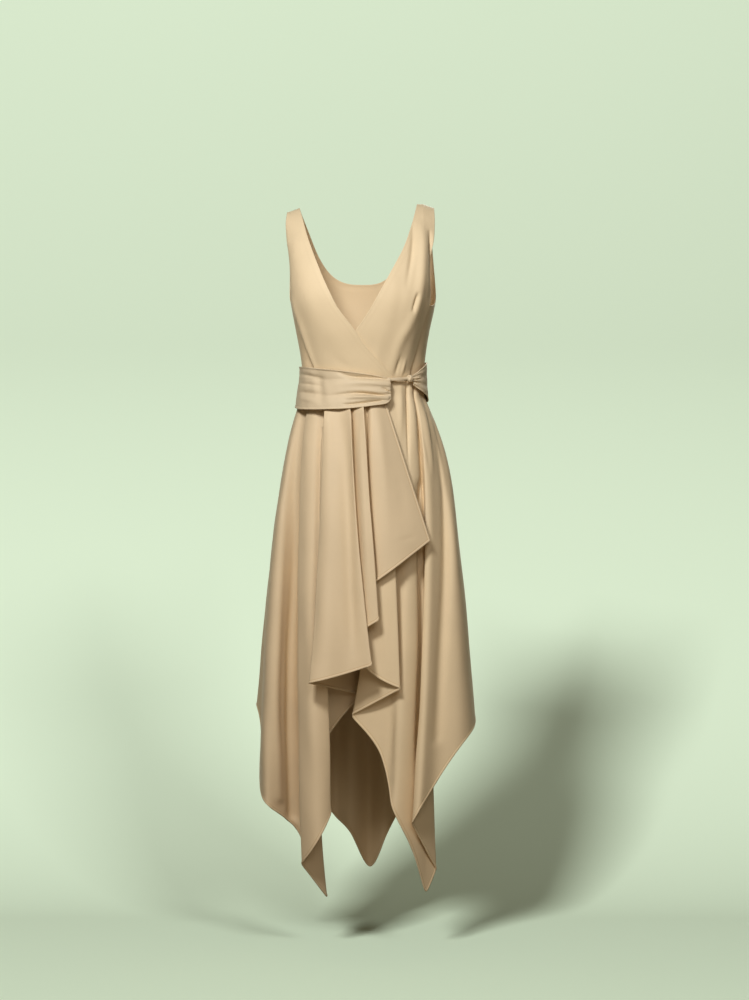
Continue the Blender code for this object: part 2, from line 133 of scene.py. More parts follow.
# Skirt: one row for each fold, from the under front's free edge round to the over front's.
# lift is how far a fold stands off the waist, and late how late it flares on the way down. crease
# is 1 for a soft fold, 2 for a folded edge and 3 for a free one.
Rib = namedtuple("Rib", "name angle lift hem_x hem_y hem_z late crease")
SKIRT = (
    Rib("under_edge", 67, 0.000, -0.050, -0.118, -0.800, 1.0, 3),
    Rib("d_left", 82, 0.000, -0.012, -0.112, -0.905, 1.0, 1),
    Rib("d_face", 100, 0.000, 0.036, -0.126, -0.942, 1.0, 1),
    Rib("d_right", 114, 0.001, 0.0755, -0.124, -0.957, 1.1, 2),
    Rib("e_left", 116, -0.001, -0.024, -0.078, -1.012, 1.6, 2),
    Rib("e_flank", 125, 0.001, 0.040, -0.084, -1.078, 1.3, 1),
    Rib("e_valley", 133, -0.001, 0.047, -0.098, -1.152, 1.2, 1),
    Rib("e_ridge", 140, 0.001, 0.058, -0.128, -1.200, 1.2, 1),
    Rib("e_face", 145, 0.000, 0.1000, -0.100, -1.270, 1.2, 1),
    Rib("tip", 148, -0.008, 0.124, -0.074, -1.362, 2.0, 2),
    Rib("tip_turn", 149.5, -0.007, 0.145, -0.054, -1.318, 2.0, 2),
    Rib("r_left", 151, 0.001, 0.095, -0.122, -1.220, 1.2, 2),
    Rib("r_ridge", 157, 0.002, 0.112, -0.140, -1.191, 1.1, 1),
    Rib("r_trough", 166, -0.001, 0.138, -0.086, -1.150, 1.0, 1),
    Rib("r_side", 172, 0.001, 0.202, -0.084, -1.058, 1.0, 1),
    Rib("left_outline", 178, 0.000, 0.228, -0.012, -1.036, 1.25, 1),
    Rib("left_seam", 183, 0.000, 0.222, 0.036, -1.008, 1.0, 1),
    Rib("back_1", 196, 0.000, 0.205, 0.090, -1.050, 1.0, 1),
    Rib("back_2", 210, 0.001, 0.176, 0.165, -1.085, 1.1, 1),
    Rib("back_3", 224, -0.001, 0.118, 0.140, -1.150, 1.3, 1),
    Rib("back_4", 238, 0.001, 0.088, 0.222, -1.215, 1.1, 1),
    Rib("back_5", 252, -0.001, 0.042, 0.172, -1.285, 1.3, 1),
    Rib("back_point", 266, 0.001, 0.014, 0.240, -1.392, 1.1, 1),
    Rib("back_6", 278, -0.001, -0.026, 0.172, -1.262, 1.3, 1),
    Rib("back_7", 291, 0.001, -0.060, 0.222, -1.256, 1.1, 1),
    Rib("back_8", 305, -0.001, -0.096, 0.150, -1.180, 1.3, 1),
    Rib("back_9", 320, 0.001, -0.152, 0.178, -1.110, 1.1, 1),
    Rib("back_10", 336, 0.000, -0.186, 0.100, -1.040, 1.0, 1),
    Rib("back_flare", 346, 0.000, -0.226, 0.086, -0.988, 1.0, 1),
    Rib("right_seam", 356, 0.000, -0.200, 0.040, -1.030, 1.0, 1),
    Rib("right_outline", 365, 0.000, -0.208, -0.004, -1.172, 1.0, 1),
    Rib("g_ridge", 375, 0.001, -0.193, -0.070, -1.192, 1.0, 1),
    Rib("g_trough", 381, -0.001, -0.139, 0.010, -1.232, 1.0, 1),
    Rib("g_turn", 385, -0.001, -0.119, 0.014, -1.276, 1.0, 1),
    Rib("point", 388, -0.001, -0.070, -0.044, -1.378, 0.6, 2),
    Rib("g_edge", 389, 0.001, -0.121, -0.100, -1.302, 1.3, 2),
    Rib("g_face", 398, 0.003, -0.088, -0.136, -1.258, 1.1, 1),
    Rib("g_right", 408, -0.001, -0.063, -0.104, -1.200, 1.1, 2),
    Rib("f_left", 410, -0.001, -0.102, -0.080, -1.075, 1.0, 1),
    Rib("f_right", 417, -0.003, 0.000, -0.025, -0.976, 1.4, 2),
    Rib("a_left", 414, 0.006, -0.105, -0.146, -0.944, 2.0, 2),
    Rib("a_ridge", 422, 0.008, -0.074, -0.172, -0.936, 1.2, 1),
    Rib("a_trough", 430, 0.005, -0.026, -0.148, -0.924, 1.1, 1),
    Rib("a_right", 437, 0.008, 0.017, -0.158, -0.908, 1.7, 2),
    Rib("b_left", 436, 0.003, -0.020, -0.138, -0.853, 1.3, 1),
    Rib("b_right", 449, 0.007, 0.032, -0.146, -0.822, 1.1, 2),
    Rib("c_left", 447, 0.002, -0.004, -0.126, -0.766, 1.2, 1),
    Rib("c_ridge", 452, 0.006, 0.032, -0.136, -0.744, 1.1, 1),
    Rib("c_face", 458, 0.006, 0.080, -0.130, -0.708, 1.0, 1),
    Rib("over_edge", 464.5, 0.004, 0.132, -0.096, -0.668, 1.0, 3),
)

# How far a pleat's folded edge rolls forward and aside below the sash, and how much its hem keeps
PleatRoll = namedtuple("PleatRoll", "height aside kept")
PLEAT_ROLLS = {
    "g_right": PleatRoll(0.0000, 0.0090, 0.3),
    "a_left": PleatRoll(0.0120, -0.0010, 0.3),
    "a_right": PleatRoll(0.0140, 0.0048, 0.5),
    "b_left": PleatRoll(-0.0030, -0.0030, 0.2),
    "b_right": PleatRoll(0.0140, 0.0010, 0.5),
    "c_left": PleatRoll(-0.0020, -0.0030, 0.2),
    "c_face": PleatRoll(0.0030, 0.0000, 0.0),
    "c_ridge": PleatRoll(0.0050, 0.0000, 0.2),
}
ROLL_FROM = 0.05  # the share of a pleat's length at which it starts to roll out
ROLL_TOP = 0.14  # and the share at which it rolls out most

# Sash: height and stand-off round the waist, and how deep its level folds are
Band = namedtuple("Band", "angle top bottom lift flare fold")
SASH_FRONT = (
    Band(-3, -0.3215, -0.4010, 0.0026, 0.0110, 0.0003),
    Band(25, -0.3240, -0.4080, 0.0060, 0.0120, 0.0007),
    Band(55, -0.3300, -0.4100, 0.0080, 0.0140, 0.0012),
    Band(80, -0.3365, -0.4085, 0.0085, 0.0140, 0.0020),
    Band(98, -0.3425, -0.4035, 0.0085, 0.0130, 0.0032),
    Band(109, -0.3475, -0.3990, 0.0080, 0.0110, 0.0040),
    Band(113.4, -0.3515, -0.3900, 0.0090, 0.0080, 0.0026),
)
SASH_END = (
    Band(139.5, -0.3420, -0.3605, 0.0075, 0.0030, 0.0010),
    Band(144.0, -0.3370, -0.3655, 0.0078, 0.0045, 0.0016),
    Band(150.5, -0.3295, -0.3725, 0.0080, 0.0055, 0.0016),
    Band(159.0, -0.3220, -0.3795, 0.0070, 0.0062, 0.0012),
    Band(170.0, -0.3155, -0.3850, 0.0050, 0.0058, 0.0008),
    Band(181.0, -0.3125, -0.3900, 0.0032, 0.0060, 0.0004),
)
SASH_BACK = (
    Band(181, -0.3125, -0.3900, 0.0032, 0.0060, 0.0004),
    Band(225, -0.3130, -0.3960, 0.0040, 0.0125, 0.0008),
    Band(270, -0.3150, -0.3990, 0.0040, 0.0140, 0.0010),
    Band(315, -0.3185, -0.4000, 0.0040, 0.0125, 0.0008),
    Band(357, -0.3215, -0.4010, 0.0026, 0.0110, 0.0003),
)
SASH_FOLDS = 3
SASH_ROWS = 76
SASH_TURNED = np.array([0, 0.006, 0.014, 0.026])  # shares of its width, for the rows at each edge
TIE_FROM = 112.5
TIE_TO = 133.6
TIE_Z = (-0.3520, -0.3485)
TIE_LIFT = 0.0105
TIE_RADIUS = 0.0021
TIE_TWIST = 2.4  # radians, from one end of the tie to the other
KNOT_ANGLE = 135.3
KNOT_Z = -0.3485
KNOT_SIZE = (0.0052, 0.0062, 0.0074)
KNOT_LEAN = 0.5  # radians
WRAP_LEAN = 0.55  # radians, for the turn of cloth round the knot
WRAP_HALF_HEIGHT = 0.0062
WRAP_HALF_DEPTH = 0.0054
WRAP_WIDTH = 0.0023
WRAP_BULGE = 0.0013

# Creases: a line of (x, z, height) pushed out of the cloth, or into it where height is negative
Crease = namedtuple("Crease", "width line")
LEFT_SIDE_CREASE = Crease(0.0120, ((0.131, -0.160, 0), (0.1235, -0.225, -0.0048),
                                   (0.1090, -0.285, -0.0052), (0.0935, -0.345, -0.0034)))
OVER_BODICE_CREASES = (
    Crease(0.0060, ((-0.140, -0.180, 0), (-0.131, -0.212, 0.0034), (-0.108, -0.284, 0.0046),
                    (-0.092, -0.335, 0.0036))),
    Crease(0.0120, ((-0.128, -0.190, 0), (-0.112, -0.240, -0.0016), (-0.085, -0.310, 0))),
    Crease(0.0070, ((-0.143, -0.050, 0), (-0.141, -0.110, -0.0012), (-0.137, -0.165, 0))),
    Crease(0.0160, ((-0.075, -0.215, 0), (-0.035, -0.285, 0.0010), (0.010, -0.330, 0))),
    Crease(0.0080, ((-0.060, -0.300, 0), (-0.040, -0.318, -0.0007), (-0.010, -0.336, 0))),
)

UNDER_BODICE_CREASES = (
    Crease(0.0050, ((0.099, -0.035, 0), (0.0985, -0.070, -0.0024), (0.0950, -0.112, -0.0030),
                    (0.0885, -0.152, -0.0014), (0.085, -0.180, 0))),
    Crease(0.0095, ((0.114, -0.030, 0), (0.117, -0.085, 0.0050), (0.114, -0.150, 0.0056),
                    (0.106, -0.205, 0.0038), (0.092, -0.240, 0.0040), (0.070, -0.284, 0.0034),
                    (0.054, -0.340, 0.0010))),
    Crease(0.0032, ((0.1065, -0.180, 0), (0.1035, -0.193, -0.0046), (0.0985, -0.211, -0.0038),
                    (0.0955, -0.222, 0))),
    Crease(0.0042, ((0.1310, -0.050, 0), (0.1325, -0.080, -0.0054), (0.1335, -0.118, -0.0056),
                    (0.1340, -0.160, -0.0050), (0.132, -0.20, 0))),
    LEFT_SIDE_CREASE,
    Crease(0.0036, ((0.074, -0.300, 0), (0.068, -0.322, -0.0026), (0.062, -0.345, -0.0016))),
    Crease(0.0030, ((0.084, -0.305, 0), (0.079, -0.325, 0.0022), (0.074, -0.345, 0.0012))),
    Crease(0.0110, ((0.075, -0.120, 0), (0.073, -0.200, -0.0012), (0.050, -0.290, 0))),
    Crease(0.0090, ((0.040, -0.250, 0), (0.030, -0.300, 0.0009), (0.028, -0.345, 0))),
)

BACK_LAP_CREASES = (
    Crease(0.0085, ((-0.139, -0.175, 0), (-0.1360, -0.218, -0.0040), (-0.1140, -0.290, -0.0105),
                    (-0.0940, -0.345, -0.0120))),
    LEFT_SIDE_CREASE,
)

# A dart and a drag behind, on each side of the middle
BACK_CREASES = (
    Crease(0.0030, ((0.050, -0.215, 0), (0.052, -0.270, -0.0012), (0.048, -0.345, 0))),
    Crease(0.0100, ((0.088, -0.100, 0), (0.080, -0.170, 0.0014), (0.060, -0.240, 0))),
)

SASH_CREASES = (
    Crease(0.0016, ((-0.110, -0.3275, 0), (-0.060, -0.3320, 0.0012), (0.005, -0.3385, 0.0016),
                    (0.044, -0.3470, 0.0010))),
    Crease(0.0040, ((-0.052, -0.3350, 0), (-0.035, -0.3425, -0.0036), (-0.015, -0.3464, -0.0056),
                    (0.005, -0.3474, -0.0060), (0.024, -0.3488, -0.0048), (0.045, -0.3510, -0.0010))),
    Crease(0.0070, ((-0.070, -0.3620, 0), (-0.030, -0.3600, 0.0026), (0.005, -0.3590, 0.0046),
                    (0.050, -0.3620, 0.0046))),
    Crease(0.0034, ((-0.078, -0.3850, 0), (-0.048, -0.3815, -0.0020), (-0.025, -0.3788, -0.0036),
                    (-0.005, -0.3782, -0.0062), (0.014, -0.3802, -0.0072), (0.034, -0.3828, -0.0050),
                    (0.048, -0.3836, -0.0016))),
    Crease(0.0028, ((-0.036, -0.3888, 0), (-0.014, -0.3876, 0.0040), (0.014, -0.3872, 0.0046),
                    (0.049, -0.3866, 0.0030))),
    Crease(0.0026, ((-0.042, -0.4004, 0), (-0.026, -0.4004, -0.0034), (-0.005, -0.3978, -0.0050),
                    (0.014, -0.3950, -0.0050), (0.034, -0.3930, -0.0036), (0.049, -0.3922, -0.0010))),
    Crease(0.0015, ((0.035, -0.3688, 0), (0.043, -0.3702, -0.0026), (0.052, -0.3746, -0.0034))),
    Crease(0.0013, ((0.040, -0.3745, 0), (0.046, -0.3758, 0.0016), (0.053, -0.3782, 0.0016))),
    Crease(0.0100, ((-0.086, -0.3320, -0.0010), (-0.086, -0.3560, -0.0046), (-0.084, -0.3820, -0.0036),
                    (-0.083, -0.4020, 0))),
    Crease(0.0042, ((-0.129, -0.3370, 0), (-0.118, -0.3395, -0.0022), (-0.104, -0.3430, -0.0030),
                    (-0.082, -0.3490, -0.0012), (-0.060, -0.3540, 0))),
    Crease(0.0034, ((-0.129, -0.3560, 0), (-0.117, -0.3575, -0.0016), (-0.106, -0.3590, -0.0020),
                    (-0.078, -0.3640, 0))),
    Crease(0.0046, ((-0.129, -0.3730, 0), (-0.119, -0.3745, -0.0020), (-0.104, -0.3770, -0.0028),
                    (-0.084, -0.3800, -0.0012), (-0.058, -0.3840, 0))),
    Crease(0.0048, ((-0.129, -0.3850, 0), (-0.112, -0.3890, 0.0014), (-0.086, -0.3950, 0))),
)

SASH_END_CREASES = (
    Crease(0.0016, ((0.0980, -0.3465, -0.0012), (0.1080, -0.3420, -0.0020), (0.1180, -0.3370, 0))),
    Crease(0.0014, ((0.0980, -0.3480, 0.0010), (0.1080, -0.3465, 0.0018), (0.1160, -0.3455, 0))),
    Crease(0.0014, ((0.0980, -0.3495, -0.0014), (0.1070, -0.3490, -0.0026), (0.1160, -0.3485, 0))),
    Crease(0.0014, ((0.0980, -0.3510, 0.0010), (0.1060, -0.3520, 0.0018), (0.1140, -0.3530, 0))),
    Crease(0.0015, ((0.0980, -0.3525, -0.0016), (0.1050, -0.3545, -0.0026), (0.1130, -0.3570, 0))),
    Crease(0.0016, ((0.0980, -0.3545, 0.0010), (0.1040, -0.3575, 0.0016), (0.1120, -0.3620, 0))),
    Crease(0.0030, ((0.1000, -0.3580, -0.0016), (0.1080, -0.3670, -0.0034), (0.1180, -0.3790, -0.002))),
)

# Creases in the skirt lie between two ribs, and fade out over soft ribs' width before them
SkirtCrease = namedtuple("SkirtCrease", "first last soft width line")
OVER_SKIRT_CREASES = (
    SkirtCrease("g_face", "f_right", 0.7, 0.0110,
                ((-0.080, -0.350, -0.0020), (-0.081, -0.440, -0.0036), (-0.085, -0.540, -0.0050),
                 (-0.088, -0.660, -0.0044), (-0.094, -0.800, -0.0040), (-0.104, -0.940, -0.0050))),
    SkirtCrease("g_turn", "f_left", 0.7, 0.009,
                ((-0.112, -0.42, 0), (-0.110, -0.48, 0.0012), (-0.108, -0.60, 0.0008), (-0.11, -0.75, 0))),
    SkirtCrease("right_outline", "point", 0.7, 0.0090,
                ((-0.122, -0.540, 0), (-0.1340, -0.700, -0.0060), (-0.1420, -0.861, -0.0105),
                 (-0.1440, -0.980, -0.0125), (-0.1430, -1.095, -0.0125), (-0.1400, -1.220, -0.0110))),
    SkirtCrease("right_outline", "g_turn", 0.7, 0.0080,
                ((-0.155, -0.600, 0), (-0.1620, -0.720, 0.0035), (-0.1700, -0.861, 0.0065),
                 (-0.1750, -0.980, 0.0080), (-0.1715, -1.095, 0.0075), (-0.1680, -1.180, 0.0045))),
    SkirtCrease("right_seam", "g_turn", 0.7, 0.016,
                ((-0.168, -0.560, 0), (-0.182, -0.720, 0.0030), (-0.190, -0.900, 0.0040),
                 (-0.190, -1.100, 0.0030), (-0.19, -1.2, 0))),
    SkirtCrease("g_turn", "g_right", 0.7, 0.014,
                ((-0.110, -0.60, 0), (-0.104, -0.80, 0.0030), (-0.098, -1.00, 0.0030), (-0.09, -1.15, 0))),
    SkirtCrease("a_left", "a_right", 0.7, 0.008,
                ((-0.066, -0.41, 0), (-0.067, -0.46, 0.0020), (-0.072, -0.60, 0))),
    SkirtCrease("a_left", "a_right", 0.7, 0.011,
                ((-0.034, -0.43, 0), (-0.032, -0.510, -0.0044), (-0.030, -0.588, -0.0056),
                 (-0.026, -0.705, -0.0060), (-0.021, -0.822, -0.0050), (-0.018, -0.900, 0))),
    SkirtCrease("a_left", "a_right", 0.7, 0.014,
                ((-0.088, -0.66, 0), (-0.094, -0.78, -0.0016), (-0.100, -0.90, -0.0010))),
    SkirtCrease("b_left", "b_right", 0.7, 0.0060,
                ((-0.006, -0.43, 0), (-0.002, -0.52, 0.0022), (0.006, -0.66, 0.0022),
                 (0.014, -0.80, 0.0006))),
    SkirtCrease("c_left", "over_edge", 0.7, 0.010,
                ((0.028, -0.41, 0.0010), (0.036, -0.48, 0.0022), (0.046, -0.60, 0.0014), (0.050, -0.70, 0))),
    SkirtCrease("c_left", "over_edge", 0.7, 0.005,
                ((0.068, -0.668, 0), (0.085, -0.664, -0.0007), (0.106, -0.661, 0))),
    SkirtCrease("c_left", "over_edge", 0.7, 0.012,
                ((0.060, -0.50, 0), (0.075, -0.58, -0.0012), (0.085, -0.66, 0))),
)

# Gaps beside the pleats' folded edges, sunk straight back into the layer behind
OVER_SKIRT_GAPS = (
    SkirtCrease("b_left", "b_right", 0.2, 0.0050,
                ((-0.0250, -0.385, 0.0130), (-0.0240, -0.430, 0.0130), (-0.0205, -0.480, 0.0120),
                 (-0.0180, -0.520, 0.0100), (-0.0135, -0.588, 0.0080), (-0.0090, -0.666, 0.0075),
                 (-0.0040, -0.744, 0.0070), (0.0020, -0.822, 0.0060))),
    SkirtCrease("c_left", "over_edge", 0.2, 0.0050,
                ((0.0060, -0.385, 0.0130), (0.0070, -0.430, 0.0130), (0.0085, -0.510, 0.0110),
                 (0.0128, -0.588, 0.0090), (0.0180, -0.666, 0.0090), (0.0235, -0.735, 0.0090))),
)

UNDER_SKIRT_CREASES = (
    SkirtCrease("e_left", "tip", 0.7, 0.0060,
                ((0.0745, -0.352, 0.0010), (0.0750, -0.400, 0.0034), (0.076, -0.470, 0))),
    SkirtCrease("e_left", "tip", 0.7, 0.0026,
                ((0.0870, -0.352, -0.0030), (0.0878, -0.400, -0.0056), (0.0890, -0.450, -0.0048),
                 (0.090, -0.53, 0))),
    SkirtCrease("e_left", "r_left", 0.7, 0.0080,
                ((0.0980, -0.360, 0.0010), (0.1010, -0.420, 0.0030), (0.104, -0.500, 0))),
    SkirtCrease("e_valley", "r_trough", 0.7, 0.0040,
                ((0.118, -0.440, 0), (0.122, -0.465, -0.0008), (0.129, -0.500, -0.0014), (0.132, -0.54, 0))),
    SkirtCrease("e_valley", "r_trough", 0.7, 0.0050,
                ((0.113, -0.385, 0), (0.124, -0.430, 0.0030), (0.136, -0.490, 0.0018), (0.141, -0.55, 0))),
    SkirtCrease("e_ridge", "tip", 0.4, 0.0100,
                ((0.114, -0.560, -0.0040), (0.1190, -0.640, -0.0120), (0.1225, -0.740, -0.0165),
                 (0.1240, -0.860, -0.0170), (0.1200, -0.980, -0.0145), (0.1140, -1.060, -0.0100),
                 (0.108, -1.14, 0))),
    SkirtCrease("r_ridge", "left_outline", 0.7, 0.0092,
                ((0.143, -0.420, -0.0030), (0.1510, -0.471, -0.0060), (0.1590, -0.530, -0.0085),
                 (0.1645, -0.588, -0.0100), (0.1650, -0.705, -0.0095), (0.1600, -0.822, -0.0070),
                 (0.1530, -0.939, -0.0050), (0.1470, -1.056, -0.0030))),
    SkirtCrease("r_trough", "left_seam", 0.7, 0.0110,
                ((0.150, -0.430, 0.0020), (0.161, -0.480, 0.0040), (0.172, -0.560, 0.0040),
                 (0.180, -0.66, 0.0030), (0.186, -0.80, 0.0010), (0.190, -0.93, 0))),
    SkirtCrease("d_left", "d_right", 0.7, 0.0100,
                ((0.040, -0.72, 0), (0.044, -0.82, 0.0014), (0.050, -0.92, 0.0006))),
    SkirtCrease("e_left", "e_ridge", 0.7, 0.0110,
                ((0.078, -0.98, 0), (0.066, -1.06, 0.0030), (0.058, -1.13, 0.0010))),
    SkirtCrease("e_flank", "tip", 0.7, 0.0100,
                ((0.060, -0.96, 0), (0.057, -1.05, -0.0050), (0.053, -1.14, -0.0050), (0.05, -1.2, 0))),
)

BACK_SKIRT_CREASES = (
    SkirtCrease("back_1", "back_4", 0.7, 0.010,
                ((0.120, -0.40, 0), (0.135, -0.52, -0.0016), (0.142, -0.70, 0))),
    SkirtCrease("back_2", "back_6", 0.7, 0.009,
                ((0.050, -0.40, 0), (0.055, -0.50, 0.0018), (0.060, -0.68, 0.0010), (0.06, -0.85, 0))),
    SkirtCrease("back_5", "back_8", 0.7, 0.008,
                ((-0.012, -0.40, 0), (-0.014, -0.50, -0.0018), (-0.012, -0.72, 0))),
    SkirtCrease("back_6", "back_9", 0.7, 0.011,
                ((-0.070, -0.40, 0), (-0.080, -0.55, 0.0020), (-0.085, -0.80, 0))),
    SkirtCrease("back_8", "right_seam", 0.7, 0.010,
                ((-0.110, -0.40, 0), (-0.130, -0.55, -0.0018), (-0.140, -0.72, 0))),
)

# Camera and floor
CENTRE = Vector((0.023, 0.0, -0.588))  # what the camera looks at
CAMERA_DISTANCE = 5.0
CAMERA_LENS = 90.0
CAMERA_SENSOR = 36.0
FLOOR_Z = -1.476

# Grids: their steps, and how far the first few lie from an edge that is turned or rolled
FRONT_ROWS = 150
BODICE_STEPS = 96  # across a front, and down the back
BACK_SAMPLES = 160  # points down the back before they are spaced out
TURNED_ROWS = (0, 0.0006, 0.0013, 0.0022, 0.0034)
HEM_ROWS = (0, 0.0005, 0.0012, 0.0022, 0.0032, 0.0042, 0.0055)
FOLD_SAMPLES = 400  # points along one fold line before its rows are spaced out
STRAP_STEPS = 40  # along each armhole and each half of the back neck
FREE_EDGE_REACH = 1.5  # ribs over which the columns close up towards a rolled free edge
OVER_GRID = (10, 164)  # columns for each rib, and rows
UNDER_GRID = (9, 180)
BACK_GRID = (14, 180)
SASH_COLUMNS = 190
SASH_END_COLUMNS = 100

# Edges: the turned ones are narrower and less full than a hem
TURNED_WIDTH = 0.003
TURNED_BEAD = 0.45
SASH_BEAD = 0.7
UNSTITCHED = 0.02  # added to an edge's distance, so that no stitches show on it
FAR_FROM_EDGE = 0.05
FACING_STEP = 0.0003  # how far the turned band along the neck stands up

# Fades: creases and swells die away over these lengths
TOP_FADE = 0.05
BACK_TOP_FADE = 0.02
WAIST_FADE = 0.02
LAP_FADE = 0.030
LAP_FROM = -0.035  # y at which the back's own swells have gone from its laps
LAP_BLEND = 0.025
SEAM_FADE = 0.5  # ribs
SKIRT_TOP_FADE = 0.004
SWELL_FADE = 0.25

# Layers and folds
LAYERS_PART = 0.08  # drop over which the overlapping layers part below the shoulder
FOLD_OPEN_AT_WAIST = 0.12  # the share of a fold's opening that it keeps at the waist

# Slow swells that keep a face from being perfectly even
Swell = namedtuple("Swell", "height reach")
FRONT_SWELL = Swell(0.0005, 0.030)
BACK_SWELL = Swell(0.0007, 0.035)
SKIRT_SWELL = Swell(0.0011, 0.050)
SASH_SWELL = Swell(0.0005, 0.018)

# Crepe finish
WEAVE_TURN = 5.2  # radians of the weave's wave for each pebble
WEAVE_HEIGHT = 0.22  # beside a pebble's height of 1
MOTTLE = 0.16  # how far colour and roughness drift over the cloth
SPECK = 0.10  # how far a pebble changes colour
SPECK_ROUGHNESS = 0.12
THREAD_HALF_WIDTH = 0.0004
STITCH_DIP_WIDTH = 0.0009
STITCH_INSET = 0.0008  # from the hem's inner side to its stitches
STITCH_ENDS = (-8.0, 2.6)  # how sharply a stitch ends, and how much of its length it fills
# Painted shade: the cloth's colour is multiplied by this along the dip beside the hem stitches, darkening
# the groove that they pull.
STITCH_DIP_PAINTED_SHADE = (0.86, 0.78, 0.66, 1.0)
DIP_DEPTH = 2.0  # beside a pebble's height
THREAD_HEIGHT = 2.5


class DressSizes(bpy.types.PropertyGroup):
    """Sizes of the cloth, its hems and its stitching."""

    cloth: FloatProperty(
        name="Cloth", description="Thickness of the crepe", default=0.0010,
        min=0.0004, max=0.003, unit="LENGTH", precision=4,
    )
    sash_cloth: FloatProperty(
        name="Sash cloth", description="Thickness of the doubled sash crepe", default=0.0014,
        min=0.0004, max=0.004, unit="LENGTH", precision=4,
    )
    hem_bead: FloatProperty(
        name="Hem bead", description="Thickness of the rolled hem", default=0.0026,
        min=0.0010, max=0.005, unit="LENGTH", precision=4,
    )
    hem_width: FloatProperty(
        name="Hem width", description="Width of the rolled hem", default=0.0042,
        min=0.002, max=0.008, unit="LENGTH", precision=4,
    )
    facing: FloatProperty(
        name="Facing", description="Width of the turned band along the neck and armholes",
        default=0.012, min=0.004, max=0.02, unit="LENGTH", precision=4,
    )
    fold_opening: FloatProperty(
        name="Fold opening", description="Width of a fold's rounded turn at the hem",
        default=0.0075, min=0.001, max=0.02, unit="LENGTH", precision=4,
    )
    crease: FloatProperty(
        name="Creases", description="How strongly the small creases are pressed in",
        default=1.0, min=0.0, max=2.0, subtype="FACTOR",
    )
    stitch: FloatProperty(
        name="Stitch", description="Length of one hem stitch with its gap", default=0.0030,
        min=0.001, max=0.01, unit="LENGTH", precision=4,
    )


class DressFinish(bpy.types.PropertyGroup):
    """Colours and surface of the crepe."""

    crepe: FloatVectorProperty(
        name="Crepe", description="Colour of the fronts", default=(0.81, 0.665, 0.46),
        size=3, min=0.0, max=1.0, subtype="COLOR",
    )
    # Painted shade: the wrap panel is the same crepe as the fronts, made a little darker to stand for the
    # light that falls off down the skirt.
    crepe_wrap_painted_shade: FloatVectorProperty(
        name="Crepe wrap", description="Colour of the wrap panel, the skirt's outer front",
        default=(0.75, 0.61, 0.425), size=3, min=0.0, max=1.0, subtype="COLOR",
    )
    crepe_back: FloatVectorProperty(
        name="Crepe back", description="Colour of the back", default=(0.77, 0.62, 0.42),
        size=3, min=0.0, max=1.0, subtype="COLOR",
    )
    sash: FloatVectorProperty(
        name="Sash", description="Colour of the sash", default=(0.71, 0.59, 0.425),
        size=3, min=0.0, max=1.0, subtype="COLOR",
    )
    roughness: FloatProperty(
        name="Roughness", description="Roughness of the crepe", default=0.58,
        min=0.0, max=1.0, subtype="FACTOR",
    )
    sheen: FloatProperty(
        name="Sheen", description="Soft sheen of the crepe's fibres", default=0.22,
        min=0.0, max=1.0, subtype="FACTOR",
    )
    grain: FloatProperty(
        name="Grain", description="Width of one pebble of the crepe", default=0.0007,
        min=0.0002, max=0.003, unit="LENGTH", precision=5,
    )


class StageLook(bpy.types.PropertyGroup):
    """Studio floor and light."""

    backdrop: FloatVectorProperty(
        name="Backdrop", description="Colour of the floor and backdrop",
        default=(0.76, 0.90, 0.71), size=3, min=0.0, max=1.0, subtype="COLOR",
    )
    key: FloatProperty(
        name="Key light", description="Power of the main light, high on the left", default=21.0,
        min=0.0, max=2000.0, unit="POWER",
    )
    fill: FloatProperty(
        name="Fill light", description="Power of the broad light from the front", default=16.0,
        min=0.0, max=2000.0, unit="POWER",
    )
    bounce: FloatProperty(
        name="Bounce light", description="Power of the soft light from the floor in front",
        default=3.5, min=0.0, max=500.0, unit="POWER",
    )
    rear: FloatProperty(
        name="Rear light", description="Power of the soft light behind the dress",
        default=16.0, min=0.0, max=500.0, unit="POWER",
    )
    backdrop_key: FloatProperty(
        name="Backdrop key", description="Power of the light that shines on the backdrop only",
        default=1110.0, min=0.0, max=9000.0, unit="POWER",
    )
    backdrop_fill: FloatProperty(
        name="Backdrop fill", description="Power of the weaker light on the backdrop only",
        default=320.0, min=0.0, max=9000.0, unit="POWER",
    )
    sky: FloatProperty(
        name="Ambient", description="Strength of the even light from all round", default=0.08,
        min=0.0, max=3.0,
    )


# Curves and grids

def through(rows, at):
    """Catmull-Rom curve through evenly spaced rows, read at the places in at."""
    rows = np.asarray(rows, float)
    last = len(rows) - 1
    at = np.clip(np.asarray(at, float), 0, last)
    i = np.minimum(at.astype(int), last - 1)
    t = (at - i)[:, None]
    ends = np.vstack([2 * rows[0] - rows[1], rows, 2 * rows[-1] - rows[-2]])
    a, b, c, d = (ends[i + k] for k in range(4))
    return b + 0.5 * t * (c - a + t * (2 * a - 5 * b + 4 * c - d + t * (3 * b - a - 3 * c + d)))


def soft_curve(points, at):
    """Cubic B-spline of control points, read at the places in at. Place 1 is near points[1]."""
    at = np.asarray(at, float)
    i = np.clip(at.astype(int), 1, len(points) - 3)
    t = (at - i)[:, None, None]
    a, b, c, d = (points[i + k] for k in (-1, 0, 1, 2))
    weights = (
        (1 - t) ** 3,
        3 * t**3 - 6 * t**2 + 4,
        -3 * t**3 + 3 * t**2 + 3 * t + 1,
        t**3,
    )
    return (weights[0] * a + weights[1] * b + weights[2] * c + weights[3] * d) / 6


def smooth_step(t):
    """Rises from 0 to 1 with level ends."""
    t = np.clip(t, 0, 1)
    return t * t * (3 - 2 * t)


def averaged(values, reach):
    """A row of values, each averaged with its neighbours."""
    padded = np.pad(values, reach, mode="edge")
    return np.convolve(padded, np.full(2 * reach + 1, 1 / (2 * reach + 1)), mode="valid")


def arc(line):
    """Distance along a line of points from its start."""
    steps = np.linalg.norm(np.diff(line, axis=0), axis=1)
    return np.concatenate([[0.0], np.cumsum(steps)])


def arcs_across(points):
    """Distance along each row of a grid from its first column."""
    return np.stack([arc(row) for row in points])


